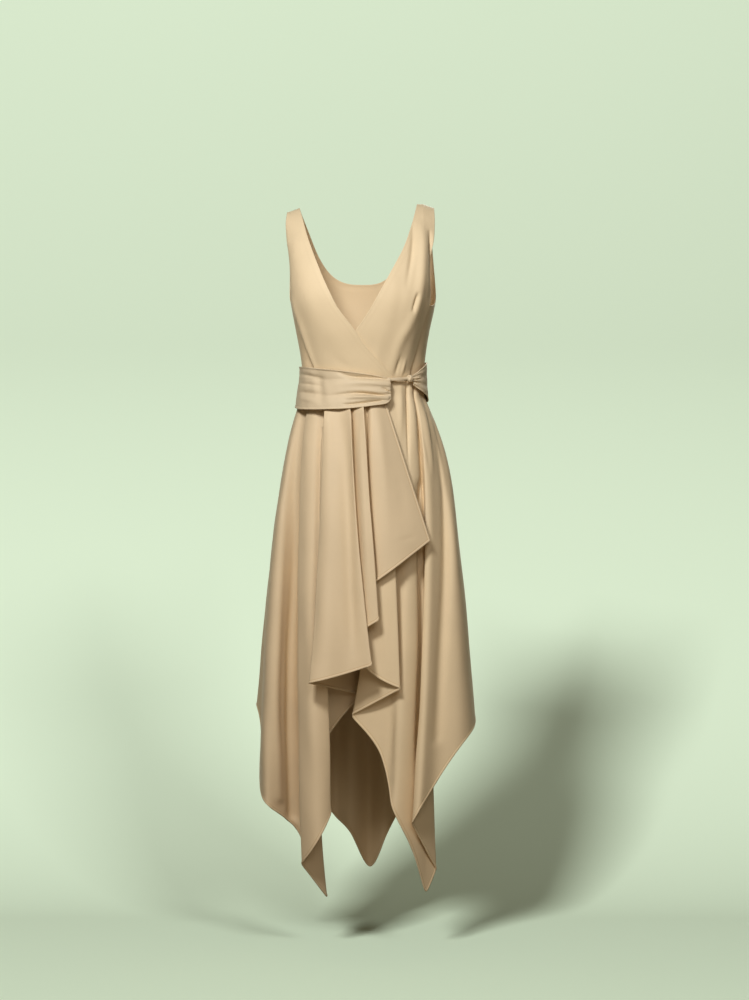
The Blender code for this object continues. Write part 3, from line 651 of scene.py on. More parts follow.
def arcs_down(points):
    """Distance down each column of a grid from its first row."""
    return arcs_across(points.transpose(1, 0, 2)).T


def respaced(line, count, first=(), last=(), stretch=1.0):
    """A line's points spread evenly, with set distances kept at its first and last ends."""
    length = arc(line)
    near = stretch * np.array(first) if len(first) else np.zeros(1)
    far = length[-1] - stretch * np.array(last)[::-1] if len(last) else length[-1:]
    middle = np.linspace(near[-1], far[0], count + 1)
    at = np.concatenate([near[:-1], middle, far[1:]])
    return np.stack([np.interp(at, length, line[:, k]) for k in range(3)], axis=1)


def slant(points, edge, inner):
    """How much longer a step down each column is than its true distance from the edge row."""
    along = np.gradient(points[edge], axis=0)
    down = points[edge] - points[inner]
    along /= np.maximum(np.linalg.norm(along, axis=1, keepdims=True), 1e-9)
    down /= np.maximum(np.linalg.norm(down, axis=1, keepdims=True), 1e-9)
    square = np.linalg.norm(np.cross(down, along), axis=1)
    return 1 / np.clip(averaged(square, 3), 0.45, 1.0)


def grid_normals(points, outward):
    """Unit normals of a grid. outward tells on which side of the body its middle faces."""
    normal = np.cross(np.gradient(points, axis=0), np.gradient(points, axis=1))
    normal /= np.maximum(np.linalg.norm(normal, axis=-1, keepdims=True), 1e-12)
    faces = np.einsum("ijk,k->ij", normal, np.asarray(outward, float)).sum()
    return normal if faces > 0 else -normal


def crease_push(points, width, line):
    """Height of one crease at each point, as a soft ridge along its line in x and z."""
    line = through(line, np.linspace(0, len(line) - 1, 8 * len(line)))
    x, z = points[..., 0], points[..., 2]
    nearest = np.full(x.shape, np.inf)
    height = np.zeros(x.shape)
    for a, b in zip(line[:-1], line[1:]):
        way = b[:2] - a[:2]
        t = ((x - a[0]) * way[0] + (z - a[1]) * way[1]) / max(way @ way, 1e-12)
        t = np.clip(t, 0, 1)
        away = np.hypot(x - a[0] - t * way[0], z - a[1] - t * way[1])
        closer = away < nearest
        nearest = np.where(closer, away, nearest)
        height = np.where(closer, a[2] + t * (b[2] - a[2]), height)
    return height * np.exp(-((nearest / width) ** 2))


def creases_together(points, creases):
    """Height of a group of creases at each point."""
    pushes = (crease_push(points, crease.width, crease.line) for crease in creases)
    return sum(pushes, np.zeros(points.shape[:2]))


def wander(points, swell):
    """Height of slow, uneven swells at each point."""
    x, y, z = (points[..., k] / swell.reach for k in range(3))
    wave = np.sin(2.1 * x + 1.3 * z + 0.4) + np.sin(-1.4 * x + 2.3 * y + 0.8 * z + 2.0)
    return swell.height * ((wave + 0.7 * np.sin(3.7 * x - 2.9 * y + 1.9 * z + 4.1)) / 2.7)


# Pieces

def placed(name, data):
    """A new object in the scene that holds this mesh, light or camera."""
    made = bpy.data.objects.new(name, data)
    bpy.context.scene.collection.objects.link(made)
    return made


def made_object(name, shape, material):
    """A new object in the scene with the shape of a bmesh, which is used up."""
    mesh = bpy.data.meshes.new(name)
    shape.to_mesh(mesh)
    shape.free()
    mesh.materials.append(material)
    mesh.shade_smooth()
    return placed(name, mesh)


def shaped_grid(places):
    """A bmesh grid whose vertices stand at a grid of places."""
    rows, columns = places.shape[:2]
    grid = bmesh.new()
    bmesh.ops.create_grid(grid, x_segments=columns - 1, y_segments=rows - 1, size=0.5)
    for vertex, place in zip(grid.verts, places.reshape(-1, 3)):
        vertex.co = place
    return grid


def worn_piece(piece, node=None):
    """Sets what a finished piece rides on, and the CAD node whose place it takes."""
    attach(piece, "root")
    if node:
        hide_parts(node)
    return piece


def cloth_piece(node, points, wall, bead, edge, along, material):
    """A closed cloth wall on a grid of middle points, thicker where bead is 1.

    edge is the distance from a finished edge and along the distance on it, for the stitching.
    """
    piece = made_object(node + "_cloth", shaped_grid(points), material)
    mesh = piece.data
    across = arcs_across(points)
    across -= across[:, points.shape[1] // 2, None]
    flat = np.stack([across.ravel(), arcs_down(points).ravel()], axis=1)
    corner = np.zeros(len(mesh.loops), int)
    mesh.loops.foreach_get("vertex_index", corner)
    mesh.uv_layers.new(name="cloth").data.foreach_set("uv", flat[corner].ravel())
    for label, values in (("edge", edge), ("along", along)):
        attribute = mesh.attributes.new(label, "FLOAT", "POINT")
        attribute.data.foreach_set("value", values.astype(np.float32).ravel())
    group = piece.vertex_groups.new(name="bead")
    steps = np.round(np.clip(bead, 0, 1) * 10).astype(int).ravel()
    for step in range(1, 11):
        group.add(np.flatnonzero(steps == step).tolist(), step / 10, "REPLACE")
    thickness = piece.modifiers.new("wall", "SOLIDIFY")
    thickness.offset = 0.0
    thickness.vertex_group = "bead"
    thickness.thickness = max(wall, bpy.context.scene.dress_sizes.hem_bead)
    thickness.thickness_vertex_group = wall / thickness.thickness
    return worn_piece(piece, node)


def bead_profile(edge, width):
    """Fullness of a rolled hem by the distance from its edge."""
    t = edge / width
    rise = np.sqrt(np.clip(t / 0.3, 0, 1))
    return (0.35 + 0.65 * rise) * smooth_step((1 - t) / 0.25)


# Bodice

def torso_at(drop):
    """Half width, front depth, back depth and squareness of the body at each drop."""
    drop = np.asarray(drop, float)
    step = TORSO[1].drop - TORSO[0].drop
    values = [row[1:] for row in TORSO]
    width, front, back, square = through(values, drop.ravel() / step).T.reshape(4, *drop.shape)
    rise = np.clip(1 - drop / BUST_DROP, 0, 1)
    crest = np.maximum(1 - rise**2, 0) ** CREST_ROUND
    return width, front * crest, back * crest, square


def power(value, exponent):
    """A power of the value's size that keeps its sign."""
    return np.sign(value) * np.abs(value) ** exponent


def body_points(angle, drop):
    """Points on the figure, angle in degrees round it and drop below the shoulder crest."""
    width, front, back, square = torso_at(drop)
    turn = np.radians(angle)
    x = -width * power(np.cos(turn), 2 / square)
    depth = np.where(np.sin(turn) > 0, front, back)
    y = -depth * power(np.sin(turn), 2 / square)
    fall = SHOULDER_FALL * np.maximum(np.abs(x) - SHOULDER_FROM, 0)
    crest = SHOULDER_TILT * np.clip(x, -SHOULDER_FROM, SHOULDER_FROM) - fall
    fade = np.clip(1 - drop / SHOULDER_FADE, 0, 1) ** 2
    return np.stack([x, y, crest * fade - drop], axis=-1)


def front_angle(x, drop):
    """The angle at which the front of the figure has this x."""
    width, _, _, square = torso_at(drop)
    return np.degrees(np.arccos(np.clip(power(-x / width, square / 2), -1, 1)))


def front_bodice(name, sections, lift, creases, material):
    """One crossed front, from its neck edge to its armhole and side."""
    sizes = bpy.context.scene.dress_sizes
    places = (len(sections) - 1) * np.linspace(0, 1, FRONT_ROWS) ** 1.25
    neck_drop, neck_x, side_drop, side_x = through(sections, places).T
    neck_angle = front_angle(neck_x, neck_drop)[:, None]
    side_angle = front_angle(side_x, side_drop)[:, None]
    s = np.linspace(0, 1, 90)
    drop = neck_drop[:, None] * (1 - s) + side_drop[:, None] * s
    points = body_points(neck_angle * (1 - s) + side_angle * s, drop)
    points = np.stack([respaced(row, BODICE_STEPS, TURNED_ROWS, TURNED_ROWS) for row in points])
    neck = arcs_across(points)
    share = neck / neck[:, -1:]
    side = neck[:, -1:] - neck
    edge = np.minimum(neck, side)
    depth = -points[..., 2]
    raised = (lift + (SIDE_LIFT - lift) * share**16) * np.clip(depth / LAYERS_PART, 0, 1) ** 2
    facing = FACING_STEP * (1 - smooth_step((neck - 0.7 * sizes.facing) / (0.5 * sizes.facing)))
    push = sizes.crease * creases_together(points, creases) + wander(points, FRONT_SWELL)
    fade = smooth_step(depth / TOP_FADE) * smooth_step((WAIST_DROP - depth) / WAIST_FADE)
    normal = grid_normals(points, (0, -1, 0))
    points = points + normal * (raised + facing + push * fade)[..., None]
    points[0, :, 1] = -SEAM_INSET
    points[-1, :, 2] = -WAIST_DROP
    along = np.broadcast_to(arc(points[:, 0])[:, None], edge.shape)
    # Below the armhole the side is sewn, so its edge isn't turned
    joined = smooth_step((depth - ARMHOLE_DROP + 0.01) / 0.03) * (side < neck)
    bead = TURNED_BEAD * bead_profile(edge, TURNED_WIDTH) * (1 - joined)
    return cloth_piece(name, points, sizes.cloth, bead, edge + UNSTITCHED, along, material)


def back_edge(strap, count):
    """Half of the back's upper edge, as angle and drop: armhole, strap top, then back neck."""
    turn = np.radians(np.linspace(0, 90, count))
    armhole = np.stack(
        [
            BACK_LAP_ANGLE + (strap.outer - BACK_LAP_ANGLE) * np.sin(turn),
            ARMHOLE_DROP * np.cos(turn),
        ],
        axis=1,
    )
    neck = np.stack(
        [
            strap.inner + (-90 - strap.inner) * (turn / turn[-1]) ** 1.15,
            BACK_NECK_DROP * np.sin(turn) ** 0.9,
        ],
        axis=1,
    )
    crest = np.linspace(strap.outer, strap.inner, 12)[1:-1, None] * (1, 0)
    return np.vstack([armhole, crest, neck])


def back_bodice(material):
    """The back, from its neck, straps and armholes to the waist, with a lap round each side."""
    sizes = bpy.context.scene.dress_sizes
    other = back_edge(LEFT_STRAP, STRAP_STEPS)[-2::-1] * (-1, 1) - (180, 0)
    angle, drop = np.vstack([back_edge(RIGHT_STRAP, STRAP_STEPS), other]).T
    waist_share = (BACK_LAP_WAIST + 90) / (BACK_LAP_ANGLE + 90)
    waist_angle = -90 + (angle + 90) * waist_share
    v = np.linspace(0, 1, BACK_SAMPLES)[:, None] ** 1.6
    points = body_points(angle + (waist_angle - angle) * v, drop + (WAIST_DROP - drop) * v)
    stretch = slant(points, 0, 6)
    columns = zip(points.transpose(1, 0, 2), stretch)
    points = np.stack([respaced(c, BODICE_STEPS, TURNED_ROWS, (), k) for c, k in columns], axis=1)
    from_top = arcs_down(points) / stretch
    seam = drop < 1e-6
    edge = np.where(seam, FAR_FROM_EDGE, from_top)
    depth = -points[..., 2]
    push = wander(points, BACK_SWELL)
    for side in (-1, 1):
        for crease in BACK_CREASES:
            line = np.array(crease.line) * (side, 1, 1)
            push = push + (points[..., 1] > 0) * crease_push(points, crease.width, line)
    push = push * smooth_step(from_top / BACK_TOP_FADE) * smooth_step((WAIST_DROP - depth) / WAIST_FADE)
    push = push * smooth_step((points[..., 1] - LAP_FROM) / LAP_BLEND)
    facing = FACING_STEP * (1 - smooth_step((edge - 0.8 * sizes.facing) / (0.4 * sizes.facing)))
    facing = facing * smooth_step(drop / 0.03)
    lap = creases_together(points, BACK_LAP_CREASES)
    lap = sizes.crease * lap * smooth_step(-points[..., 1] / LAP_FADE)
    normal = grid_normals(points, (0, 1, 0))
    points = points + normal * (push + lap + facing)[..., None]
    points[0, seam, 1] = SEAM_INSET
    along = np.broadcast_to(arc(points[0]), edge.shape)
    bead = TURNED_BEAD * bead_profile(edge, TURNED_WIDTH)
    return cloth_piece(
        "bodice_back", points, sizes.cloth, bead, edge + UNSTITCHED, along, material
    )


# Skirt

def hip_push(drop):
    """How much of the hips' fullness pushes the skirt out at this drop below the waist."""
    t = np.clip(drop - HIP_START, 0, None) / HIP_LENGTH
    return (1 - (1 - t) ** 9) * (1 - t**3)


def rib_points(rib, v):
    """One fold line from the waist seam to the hem."""
    turn = np.radians(rib.angle)
    out = np.array([-np.cos(turn), -np.sin(turn)])
    depth = WAIST_FRONT if out[1] < 0 else WAIST_BACK
    waist = out * (WAIST_HALF_WIDTH + rib.lift, depth + rib.lift)
    hip_x = HIP_LEFT if out[0] > 0 else HIP_RIGHT
    hip_y = HIP_FRONT if out[1] < 0 else HIP_BACK
    hip = out * (hip_x * abs(out[0]) ** 3, hip_y)
    start = -WAIST_DROP - WAIST_SEAM
    length = start - rib.hem_z
    hem = np.array([rib.hem_x, rib.hem_y])
    line = waist + (hem - waist - hip_push(length) * hip) * v[:, None] ** rib.late
    roll = PLEAT_ROLLS.get(rib.name, PleatRoll(0, 0, 0))
    down = np.clip((v - ROLL_TOP) / (1 - ROLL_TOP), 0, 1)
    rolled = smooth_step((v - ROLL_FROM) / (ROLL_TOP - ROLL_FROM)) * (1 - (1 - roll.kept) * down)
    rolled = rolled[:, None] * (roll.aside, -roll.height)
    xy = line + hip_push(length * v)[:, None] * hip + rolled
    return np.column_stack([xy, start - length * v])


def skirt_ribs():
    """The rib table with each crease repeated, and the place of each name in it."""
    rows = []
    place = {}
    for rib in SKIRT:
        place[rib.name] = len(rows) + (rib.crease - 1) / 2
        rows += [rib] * rib.crease
    return rows, place


def fold_lips(net, rows, v, opening):
    """Opens each doubled rib into the two lips of a soft, rounded fold."""
    opened = net.copy()
    for i in range(1, len(rows) - 2):
        if rows[i] is rows[i + 1] and rows[i].crease == 2:
            way = (net[i - 1] - net[i + 2]) * (1, 1, 0)
            way /= np.maximum(np.linalg.norm(way, axis=1, keepdims=True), 1e-9)
            open_share = FOLD_OPEN_AT_WAIST + (1 - FOLD_OPEN_AT_WAIST) * v[:, None]
            half = 0.5 * opening * open_share
            opened[i] += half * way
            opened[i + 1] -= half * way
    return opened


def creases_at(points, at, place, creases):
    """Height of a skirt's creases together at each point."""
    push = np.zeros(points.shape[:2])
    for crease in creases:
        begin, stop = place[crease.first], place[crease.last]
        mask = smooth_step((at - begin) / crease.soft) * smooth_step((stop - at) / crease.soft)
        push += mask * crease_push(points, crease.width, crease.line)
    return push


def with_turned_side(points, at, to_hem, reach):
    """Adds columns near a panel's last side, where its free edge is rolled like the hem.

    Returns the points, each column's place in the rib table, and the distances to hem and side.
    """
    turned = np.stack([respaced(row[-reach:], reach, (), HEM_ROWS) for row in points])
    points = np.concatenate([points[:, :-reach], turned], axis=1)
    extra = points.shape[1] - len(at)
    near = np.linspace(at[-reach - 1], at[-1], reach + extra + 1)[1:]
    at = np.concatenate([at[:-reach], near])
    to_hem = np.concatenate([to_hem, np.repeat(to_hem[:, -1:], extra, axis=1)], axis=1)
    across = arcs_across(points)
    return points, at, to_hem, across[:, -1:] - across


def skirt_grid(first, last, per_rib, rows_down, rows, place):
    """A panel's points between two ribs, each column's place, and its distances to hem and side."""
    v = np.linspace(0, 1, FOLD_SAMPLES)
    net = np.array([rib_points(rib, v) for rib in rows])
    net = fold_lips(net, rows, v, bpy.context.scene.dress_sizes.fold_opening)
    start, end = place[first], place[last]
    at = np.linspace(start, end, int(round((end - start) * per_rib)) + 1)
    lines = soft_curve(net, at)
    stretch = slant(lines.transpose(1, 0, 2), -1, -6)
    columns = [respaced(line, rows_down, (), HEM_ROWS, k) for line, k in zip(lines, stretch)]
    points = np.stack(columns, axis=1)
    down = arcs_down(points)
    to_hem = (down[-1] - down) / stretch
    to_side = np.full(to_hem.shape, 1.0)
    reach = int(FREE_EDGE_REACH * per_rib)
    if last.endswith("edge"):
        points, at, to_hem, to_side = with_turned_side(points, at, to_hem, reach)
    if first.endswith("edge"):
        turned = with_turned_side(points[:, ::-1], at[::-1], to_hem[:, ::-1], reach)
        points, to_hem, to_side = (turned[k][:, ::-1] for k in (0, 2, 3))
        at = turned[1][::-1]
    return points, at, to_hem, to_side


def skirt_panel(name, ends, creases, gaps, outward, grid, material):
    """One skirt panel from its first rib to its last. grid has its columns per rib and its rows."""
    first, last = ends
    sizes = bpy.context.scene.dress_sizes
    rows, place = skirt_ribs()
    points, at, to_hem, to_side = skirt_grid(first, last, *grid, rows, place)
    edge = np.minimum(to_hem, to_side)
    seam_fade = np.ones(len(at))
    for rib_name, end, inner, away in ((first, 0, 1, at - at[0]), (last, -1, -2, at[-1] - at)):
        if rib_name.endswith("seam"):
            way = points[:, inner] - points[:, end]
            points[:, end] += SEAM_INSET * way / np.linalg.norm(way, axis=-1, keepdims=True)
            seam_fade = seam_fade * smooth_step(away / SEAM_FADE)
    normal = grid_normals(points, outward)
    points[..., 1] += sizes.crease * creases_at(points, at, place, gaps)
    drop = -WAIST_DROP - points[..., 2]
    push = sizes.crease * creases_at(points, at, place, creases)
    push += wander(points, SKIRT_SWELL) * smooth_step(drop / SWELL_FADE)
    points = points + normal * (push * smooth_step(drop / SKIRT_TOP_FADE) * seam_fade)[..., None]
    along_hem = np.broadcast_to(arc(points[-1]), edge.shape)
    side = points[:, 0] if first.endswith("edge") else points[:, -1]
    along_side = np.broadcast_to(arc(side)[:, None], edge.shape)
    along = np.where(to_hem <= to_side, along_hem, along_side)
    bead = bead_profile(edge, sizes.hem_width)
    return cloth_piece(name, points, sizes.cloth, bead, edge, along, material)


# Sash

def around_waist(angle, lift, z):
    """Points that stand off the body near the waist, by angle and height."""
    angle, lift, z = np.broadcast_arrays(angle, lift, z)
    body = body_points(angle, np.minimum(-z, WAIST_DROP))
    turn = np.radians(angle)
    x = body[..., 0] - lift * np.cos(turn)
    y = body[..., 1] - lift * np.sin(turn)
    return np.stack([x, y, z], axis=-1)


def sash_band(name, bands, columns, creases, ripple, material):
    """A stretch of the sash, folded along its length. ripple is how much of its even folds stays."""
    sizes = bpy.context.scene.dress_sizes
    places = np.linspace(0, len(bands) - 1, columns)
    angle, top, bottom, lift, flare, fold = through(bands, places).T
    s = np.concatenate([SASH_TURNED, np.linspace(0.04, 0.96, SASH_ROWS), 1 - SASH_TURNED[::-1]])[:, None]
    z = top * (1 - s) + bottom * s
    drift = 0.25 * np.sin(np.radians(angle) * 2.2)
    roll = fold * (1 - np.cos(SASH_FOLDS * 2 * np.pi * (s + 0.1 * drift * s * (1 - s) * 4)))
    average = fold * (1 - ripple)
    points = around_waist(angle, lift + flare * s + ripple * roll + average, z)
    normal = grid_normals(points, points[len(s) // 2, columns // 2] * (1, 1, 0))
    lip = 0.0010 * np.exp(-((s / 0.03) ** 2)) + 0.0006 * np.exp(-(((1 - s) / 0.03) ** 2))
    push = sizes.crease * creases_together(points, creases) + lip + wander(points, SASH_SWELL)
    points = points + normal * push[..., None]
    down = arcs_down(points)
    edge = np.minimum(down, down[-1:] - down)
    along = np.broadcast_to(arc(points[0]), edge.shape)
    bead = SASH_BEAD * bead_profile(edge, TURNED_WIDTH)
    edge = edge + UNSTITCHED
    return cloth_piece(name, points, sizes.sash_cloth, bead, edge, along, material)


def rolled_tube(name, rings, material):
    """A closed tube through rings of points, rolled from a grid and capped at both ends."""
    tube = shaped_grid(rings)
    bmesh.ops.remove_doubles(tube, verts=tube.verts, dist=1e-6)
    open_edges = [edge for edge in tube.edges if edge.is_boundary]
    bmesh.ops.holes_fill(tube, edges=open_edges, sides=0)
    bmesh.ops.recalc_face_normals(tube, faces=tube.faces)
    return made_object(name, tube, material)


def sash_tie(material):
    """The sash's narrow, twisted stretch between its gathered end and the knot."""
    t = np.linspace(0, 1, 60)
    angle = TIE_FROM + (TIE_TO - TIE_FROM) * t
    middle = around_waist(angle, TIE_LIFT, TIE_Z[0] + (TIE_Z[1] - TIE_Z[0]) * t)
    out = middle * (1, 1, 0)
    out /= np.linalg.norm(out, axis=1, keepdims=True)
    turn = np.radians(np.linspace(0, 360, 33))
    twist = turn[None, :] + TIE_TWIST * t[:, None]
    ends = 0.45 * np.exp(-((t / 0.10) ** 2)) + 0.30 * np.exp(-(((1 - t) / 0.10) ** 2))
    radius = TIE_RADIUS * (1 + 0.13 * np.cos(3 * twist) + ends[:, None])
    side = radius * np.cos(turn)
    rise = 1.6 * radius * np.sin(turn)
    rings = middle[:, None] + out[:, None] * side[..., None] + rise[..., None] * (0, 0, 1)
    return worn_piece(rolled_tube("sash_tie_cloth", rings, material), "sash_tie")


def knot_frame():
    """Middle of the knot, and its outward and sideways directions."""
    middle = around_waist(KNOT_ANGLE, TIE_LIFT, KNOT_Z)
    out = Vector(middle * (1, 1, 0)).normalized()
    return Vector(middle), out, out.cross(Vector((0, 0, 1)))


def sash_knot(material):
    """The knot's pulled-up ball of cloth, with the folds that run round it."""
    middle, _, _ = knot_frame()
    ball = bmesh.new()
    bmesh.ops.create_uvsphere(ball, u_segments=64, v_segments=40, radius=1.0)
    for vertex in ball.verts:
        x, y, z = vertex.co
        around = np.arctan2(y, x)
        folds = 0.07 * np.cos(5 * around + 2.6 * z) * np.sqrt(max(1 - z * z, 0))
        vertex.co *= 1 + folds + 0.05 * np.sin(6 * z + around)
    bmesh.ops.scale(ball, vec=KNOT_SIZE, verts=ball.verts)
    bmesh.ops.rotate(ball, matrix=Matrix.Rotation(KNOT_LEAN, 3, "Y"), verts=ball.verts)
    bmesh.ops.translate(ball, vec=middle, verts=ball.verts)
    worn_piece(made_object("sash_knot_ball", ball, material), "sash_knot")


def knot_wrap(material):
    """The turn of cloth that goes round the knot."""
    middle, out, side = knot_frame()
    wrap_turn = np.radians(np.linspace(0, 360, 73))
    cross_turn = np.radians(np.linspace(0, 360, 25))
    tilt = Matrix.Rotation(WRAP_LEAN, 3, out)
    up = tilt @ Vector((0, 0, 1))
    span = tilt @ side
    ring = np.outer(np.cos(wrap_turn), up) * WRAP_HALF_HEIGHT
    ring = ring + np.outer(np.sin(wrap_turn), out) * WRAP_HALF_DEPTH
    outward = ring / np.linalg.norm(ring, axis=1, keepdims=True)
    width = WRAP_WIDTH * (1 + 0.2 * np.cos(2 * wrap_turn + 0.6))
    bulge = WRAP_BULGE * (1 + 0.12 * np.cos(3 * cross_turn[None, :] + wrap_turn[:, None]))
    rings = (
        np.array(middle)
        + ring[:, None]
        + (bulge * np.cos(cross_turn))[..., None] * outward[:, None]
        + (width[:, None] * np.sin(cross_turn))[..., None] * np.array(span)
    )
    rings[-1] = rings[0]
    worn_piece(rolled_tube("sash_knot_wrap", rings, material))


# Finishes

def add_node(tree, kind, place, **inputs):
    """A shader node at a place in the tree, with its named input values set."""
    node = tree.nodes.new(kind)
    node.location = place
    for label, value in inputs.items():
        node.inputs[label.replace("_", " ")].default_value = value
    return node


def math_node(tree, operation, first, second=None, third=None, clamp=False):
    """A maths node whose inputs are numbers or other nodes' outputs."""
    node = tree.nodes.new("ShaderNodeMath")
    node.operation = operation
    node.use_clamp = clamp
    for socket, value in zip(node.inputs, (first, second, third)):
        if value is None:
            continue
        if isinstance(value, bpy.types.NodeSocket):
            tree.links.new(value, socket)
        else:
            socket.default_value = value
    return node.outputs[0]


def group_sockets(group, inputs, outputs):
    """Gives a node group its named inputs, with their defaults, and its named outputs."""
    for label, kind, default in inputs:
        socket = group.interface.new_socket(label, in_out="INPUT", socket_type=kind)
        if default is not None:
            socket.default_value = default
    for label, kind in outputs:
        group.interface.new_socket(label, in_out="OUTPUT", socket_type=kind)


def crepe_group():
    """Pebbled crepe: colour that drifts a little, roughness and a fine uneven weave."""
    group = bpy.data.node_groups.new("crepe_surface", "ShaderNodeTree")
    group_sockets(
        group,
        (
            ("Place", "NodeSocketVector", None),
            ("Cloth", "NodeSocketVector", None),
            ("Colour", "NodeSocketColor", (0.8, 0.64, 0.43, 1.0)),
            ("Grain", "NodeSocketFloat", 0.0007),
            ("Roughness", "NodeSocketFloat", 0.58),
        ),
        (
            ("Colour", "NodeSocketColor"),
            ("Roughness", "NodeSocketFloat"),
            ("Height", "NodeSocketFloat"),
        ),
    )
    given = group.nodes.new("NodeGroupInput").outputs
    result = group.nodes.new("NodeGroupOutput").inputs
    link = group.links.new
    maths = partial(math_node, group)
    pebble_scale = maths("DIVIDE", 1.0, given["Grain"])
    pebble = add_node(group, "ShaderNodeTexNoise", (0, 300), Detail=2.0, Roughness=0.55)
    link(given["Place"], pebble.inputs["Vector"])
    link(pebble_scale, pebble.inputs["Scale"])
    mottle = add_node(group, "ShaderNodeTexNoise", (0, 0), Scale=7.0, Detail=4.0, Roughness=0.6)
    link(given["Place"], mottle.inputs["Vector"])
    split = group.nodes.new("ShaderNodeSeparateXYZ")
    link(given["Cloth"], split.inputs[0])
    turns = maths("MULTIPLY", pebble_scale, WEAVE_TURN)
    warp = maths("SINE", maths("MULTIPLY", split.outputs[0], turns))
    weft = maths("SINE", maths("MULTIPLY", split.outputs[1], turns))
    weave = maths("MULTIPLY", warp, weft)
    link(maths("MULTIPLY_ADD", weave, WEAVE_HEIGHT, pebble.outputs["Fac"]), result["Height"])
    drift = maths("MULTIPLY_ADD", mottle.outputs["Fac"], MOTTLE, 1 - MOTTLE / 2)
    speck = maths("MULTIPLY_ADD", pebble.outputs["Fac"], SPECK, 1 - SPECK / 2)
    shade = maths("MULTIPLY", drift, speck)
    tinted = group.nodes.new("ShaderNodeVectorMath")
    tinted.operation = "SCALE"
    link(given["Colour"], tinted.inputs[0])
    link(shade, tinted.inputs["Scale"])
    link(tinted.outputs[0], result["Colour"])
    uneven = maths("MULTIPLY_ADD", mottle.outputs["Fac"], MOTTLE, -MOTTLE / 2)
    grainy = maths("MULTIPLY_ADD", pebble.outputs["Fac"], SPECK_ROUGHNESS, uneven)
    link(maths("ADD", grainy, given["Roughness"]), result["Roughness"])
    return group


def stitch_group():
    """Small hem stitches beside a finished edge, and the slight dip that they pull."""
    group = bpy.data.node_groups.new("hem_stitch", "ShaderNodeTree")
    group_sockets(
        group,
        (
            ("Edge", "NodeSocketFloat", 0.05),
            ("Along", "NodeSocketFloat", 0.0),
            ("Inset", "NodeSocketFloat", 0.005),
            ("Stitch", "NodeSocketFloat", 0.003),
        ),
        (("Thread", "NodeSocketFloat"), ("Dip", "NodeSocketFloat")),
    )
    given = group.nodes.new("NodeGroupInput").outputs
    result = group.nodes.new("NodeGroupOutput").inputs
    maths = partial(math_node, group)
    away = maths("ABSOLUTE", maths("SUBTRACT", given["Edge"], given["Inset"]))
    line = maths("SUBTRACT", 1.0, maths("DIVIDE", away, THREAD_HALF_WIDTH), clamp=True)
    beat = maths("FRACT", maths("DIVIDE", given["Along"], given["Stitch"]))
    beat = maths("ABSOLUTE", maths("SUBTRACT", beat, 0.5))
    beat = maths("MULTIPLY_ADD", beat, *STITCH_ENDS, clamp=True)
    group.links.new(maths("MULTIPLY", line, beat), result["Thread"])
    dip = maths("SUBTRACT", 1.0, maths("DIVIDE", away, STITCH_DIP_WIDTH), clamp=True)
    group.links.new(dip, result["Dip"])
    return group


def new_material(name, specular):
    """A new material, its node tree and its shader."""
    material = bpy.data.materials.new(name)
    material.use_nodes = True
    shader = material.node_tree.nodes["Principled BSDF"]
    shader.inputs["Specular IOR Level"].default_value = specular
    return material, material.node_tree, shader


def crepe_material(name, colour, crepe, stitch):
    """One crepe finish. Its colour and roughness drift a little and its weave is embossed. Along the hem
    stitches' dip its colour is darkened with painted shade.
    """
    finish = bpy.context.scene.dress_finish
    sizes = bpy.context.scene.dress_sizes
    material, tree, shader = new_material(name, specular=0.32)
    link = tree.links.new
    shader.inputs["Sheen Weight"].default_value = finish.sheen
    shader.inputs["Sheen Roughness"].default_value = 0.42
    shader.inputs["Sheen Tint"].default_value = (1.0, 0.94, 0.84, 1.0)
    places = tree.nodes.new("ShaderNodeTexCoord")
    surface = tree.nodes.new("ShaderNodeGroup")
    surface.node_tree = crepe
    surface.inputs["Colour"].default_value = (*colour, 1.0)
    surface.inputs["Grain"].default_value = finish.grain
    surface.inputs["Roughness"].default_value = finish.roughness - SPECK_ROUGHNESS / 2
    link(places.outputs["Object"], surface.inputs["Place"])
    link(places.outputs["UV"], surface.inputs["Cloth"])
    sewing = tree.nodes.new("ShaderNodeGroup")
    sewing.node_tree = stitch
    sewing.inputs["Inset"].default_value = sizes.hem_width + STITCH_INSET
    sewing.inputs["Stitch"].default_value = sizes.stitch
    for label in ("edge", "along"):
        attribute = tree.nodes.new("ShaderNodeAttribute")
        attribute.attribute_name = label
        link(attribute.outputs["Fac"], sewing.inputs[label.title()])
    # Painted shade: the colour is darkened along the dip that the hem stitches pull.
    mix = tree.nodes.new("ShaderNodeMix")
    mix.data_type = "RGBA"
    mix.blend_type = "MULTIPLY"
    mix.inputs["B"].default_value = STITCH_DIP_PAINTED_SHADE
    link(sewing.outputs["Dip"], mix.inputs["Factor"])
    link(surface.outputs["Colour"], mix.inputs["A"])
    link(mix.outputs["Result"], shader.inputs["Base Color"])
    link(surface.outputs["Roughness"], shader.inputs["Roughness"])
    maths = partial(math_node, tree)
    height = maths("MULTIPLY_ADD", sewing.outputs["Dip"], -DIP_DEPTH, surface.outputs["Height"])
    height = maths("MULTIPLY_ADD", sewing.outputs["Thread"], THREAD_HEIGHT, height)
    bump = add_node(tree, "ShaderNodeBump", (-200, -300), Strength=0.6, Distance=0.00012)
    link(height, bump.inputs["Height"])
    link(bump.outputs["Normal"], shader.inputs["Normal"])
    return material


def finish_named(name):
    """The named crepe finish, made on first use."""
    found = bpy.data.materials.get(name)
    if found:
        return found
    crepe = bpy.data.node_groups.get("crepe_surface") or crepe_group()
    stitch = bpy.data.node_groups.get("hem_stitch") or stitch_group()
    finish = bpy.context.scene.dress_finish
    # The wrap's colour is the fronts' crepe with painted shade, darker for the light that falls off down the
    # skirt.
    colour = {
        "crepe_front": finish.crepe,
        "crepe_wrap_painted_shade": finish.crepe_wrap_painted_shade,
        "crepe_rear": finish.crepe_back,
        "crepe_sash": finish.sash,
    }[name]
    return crepe_material(name, tuple(colour), crepe, stitch)


# Stage

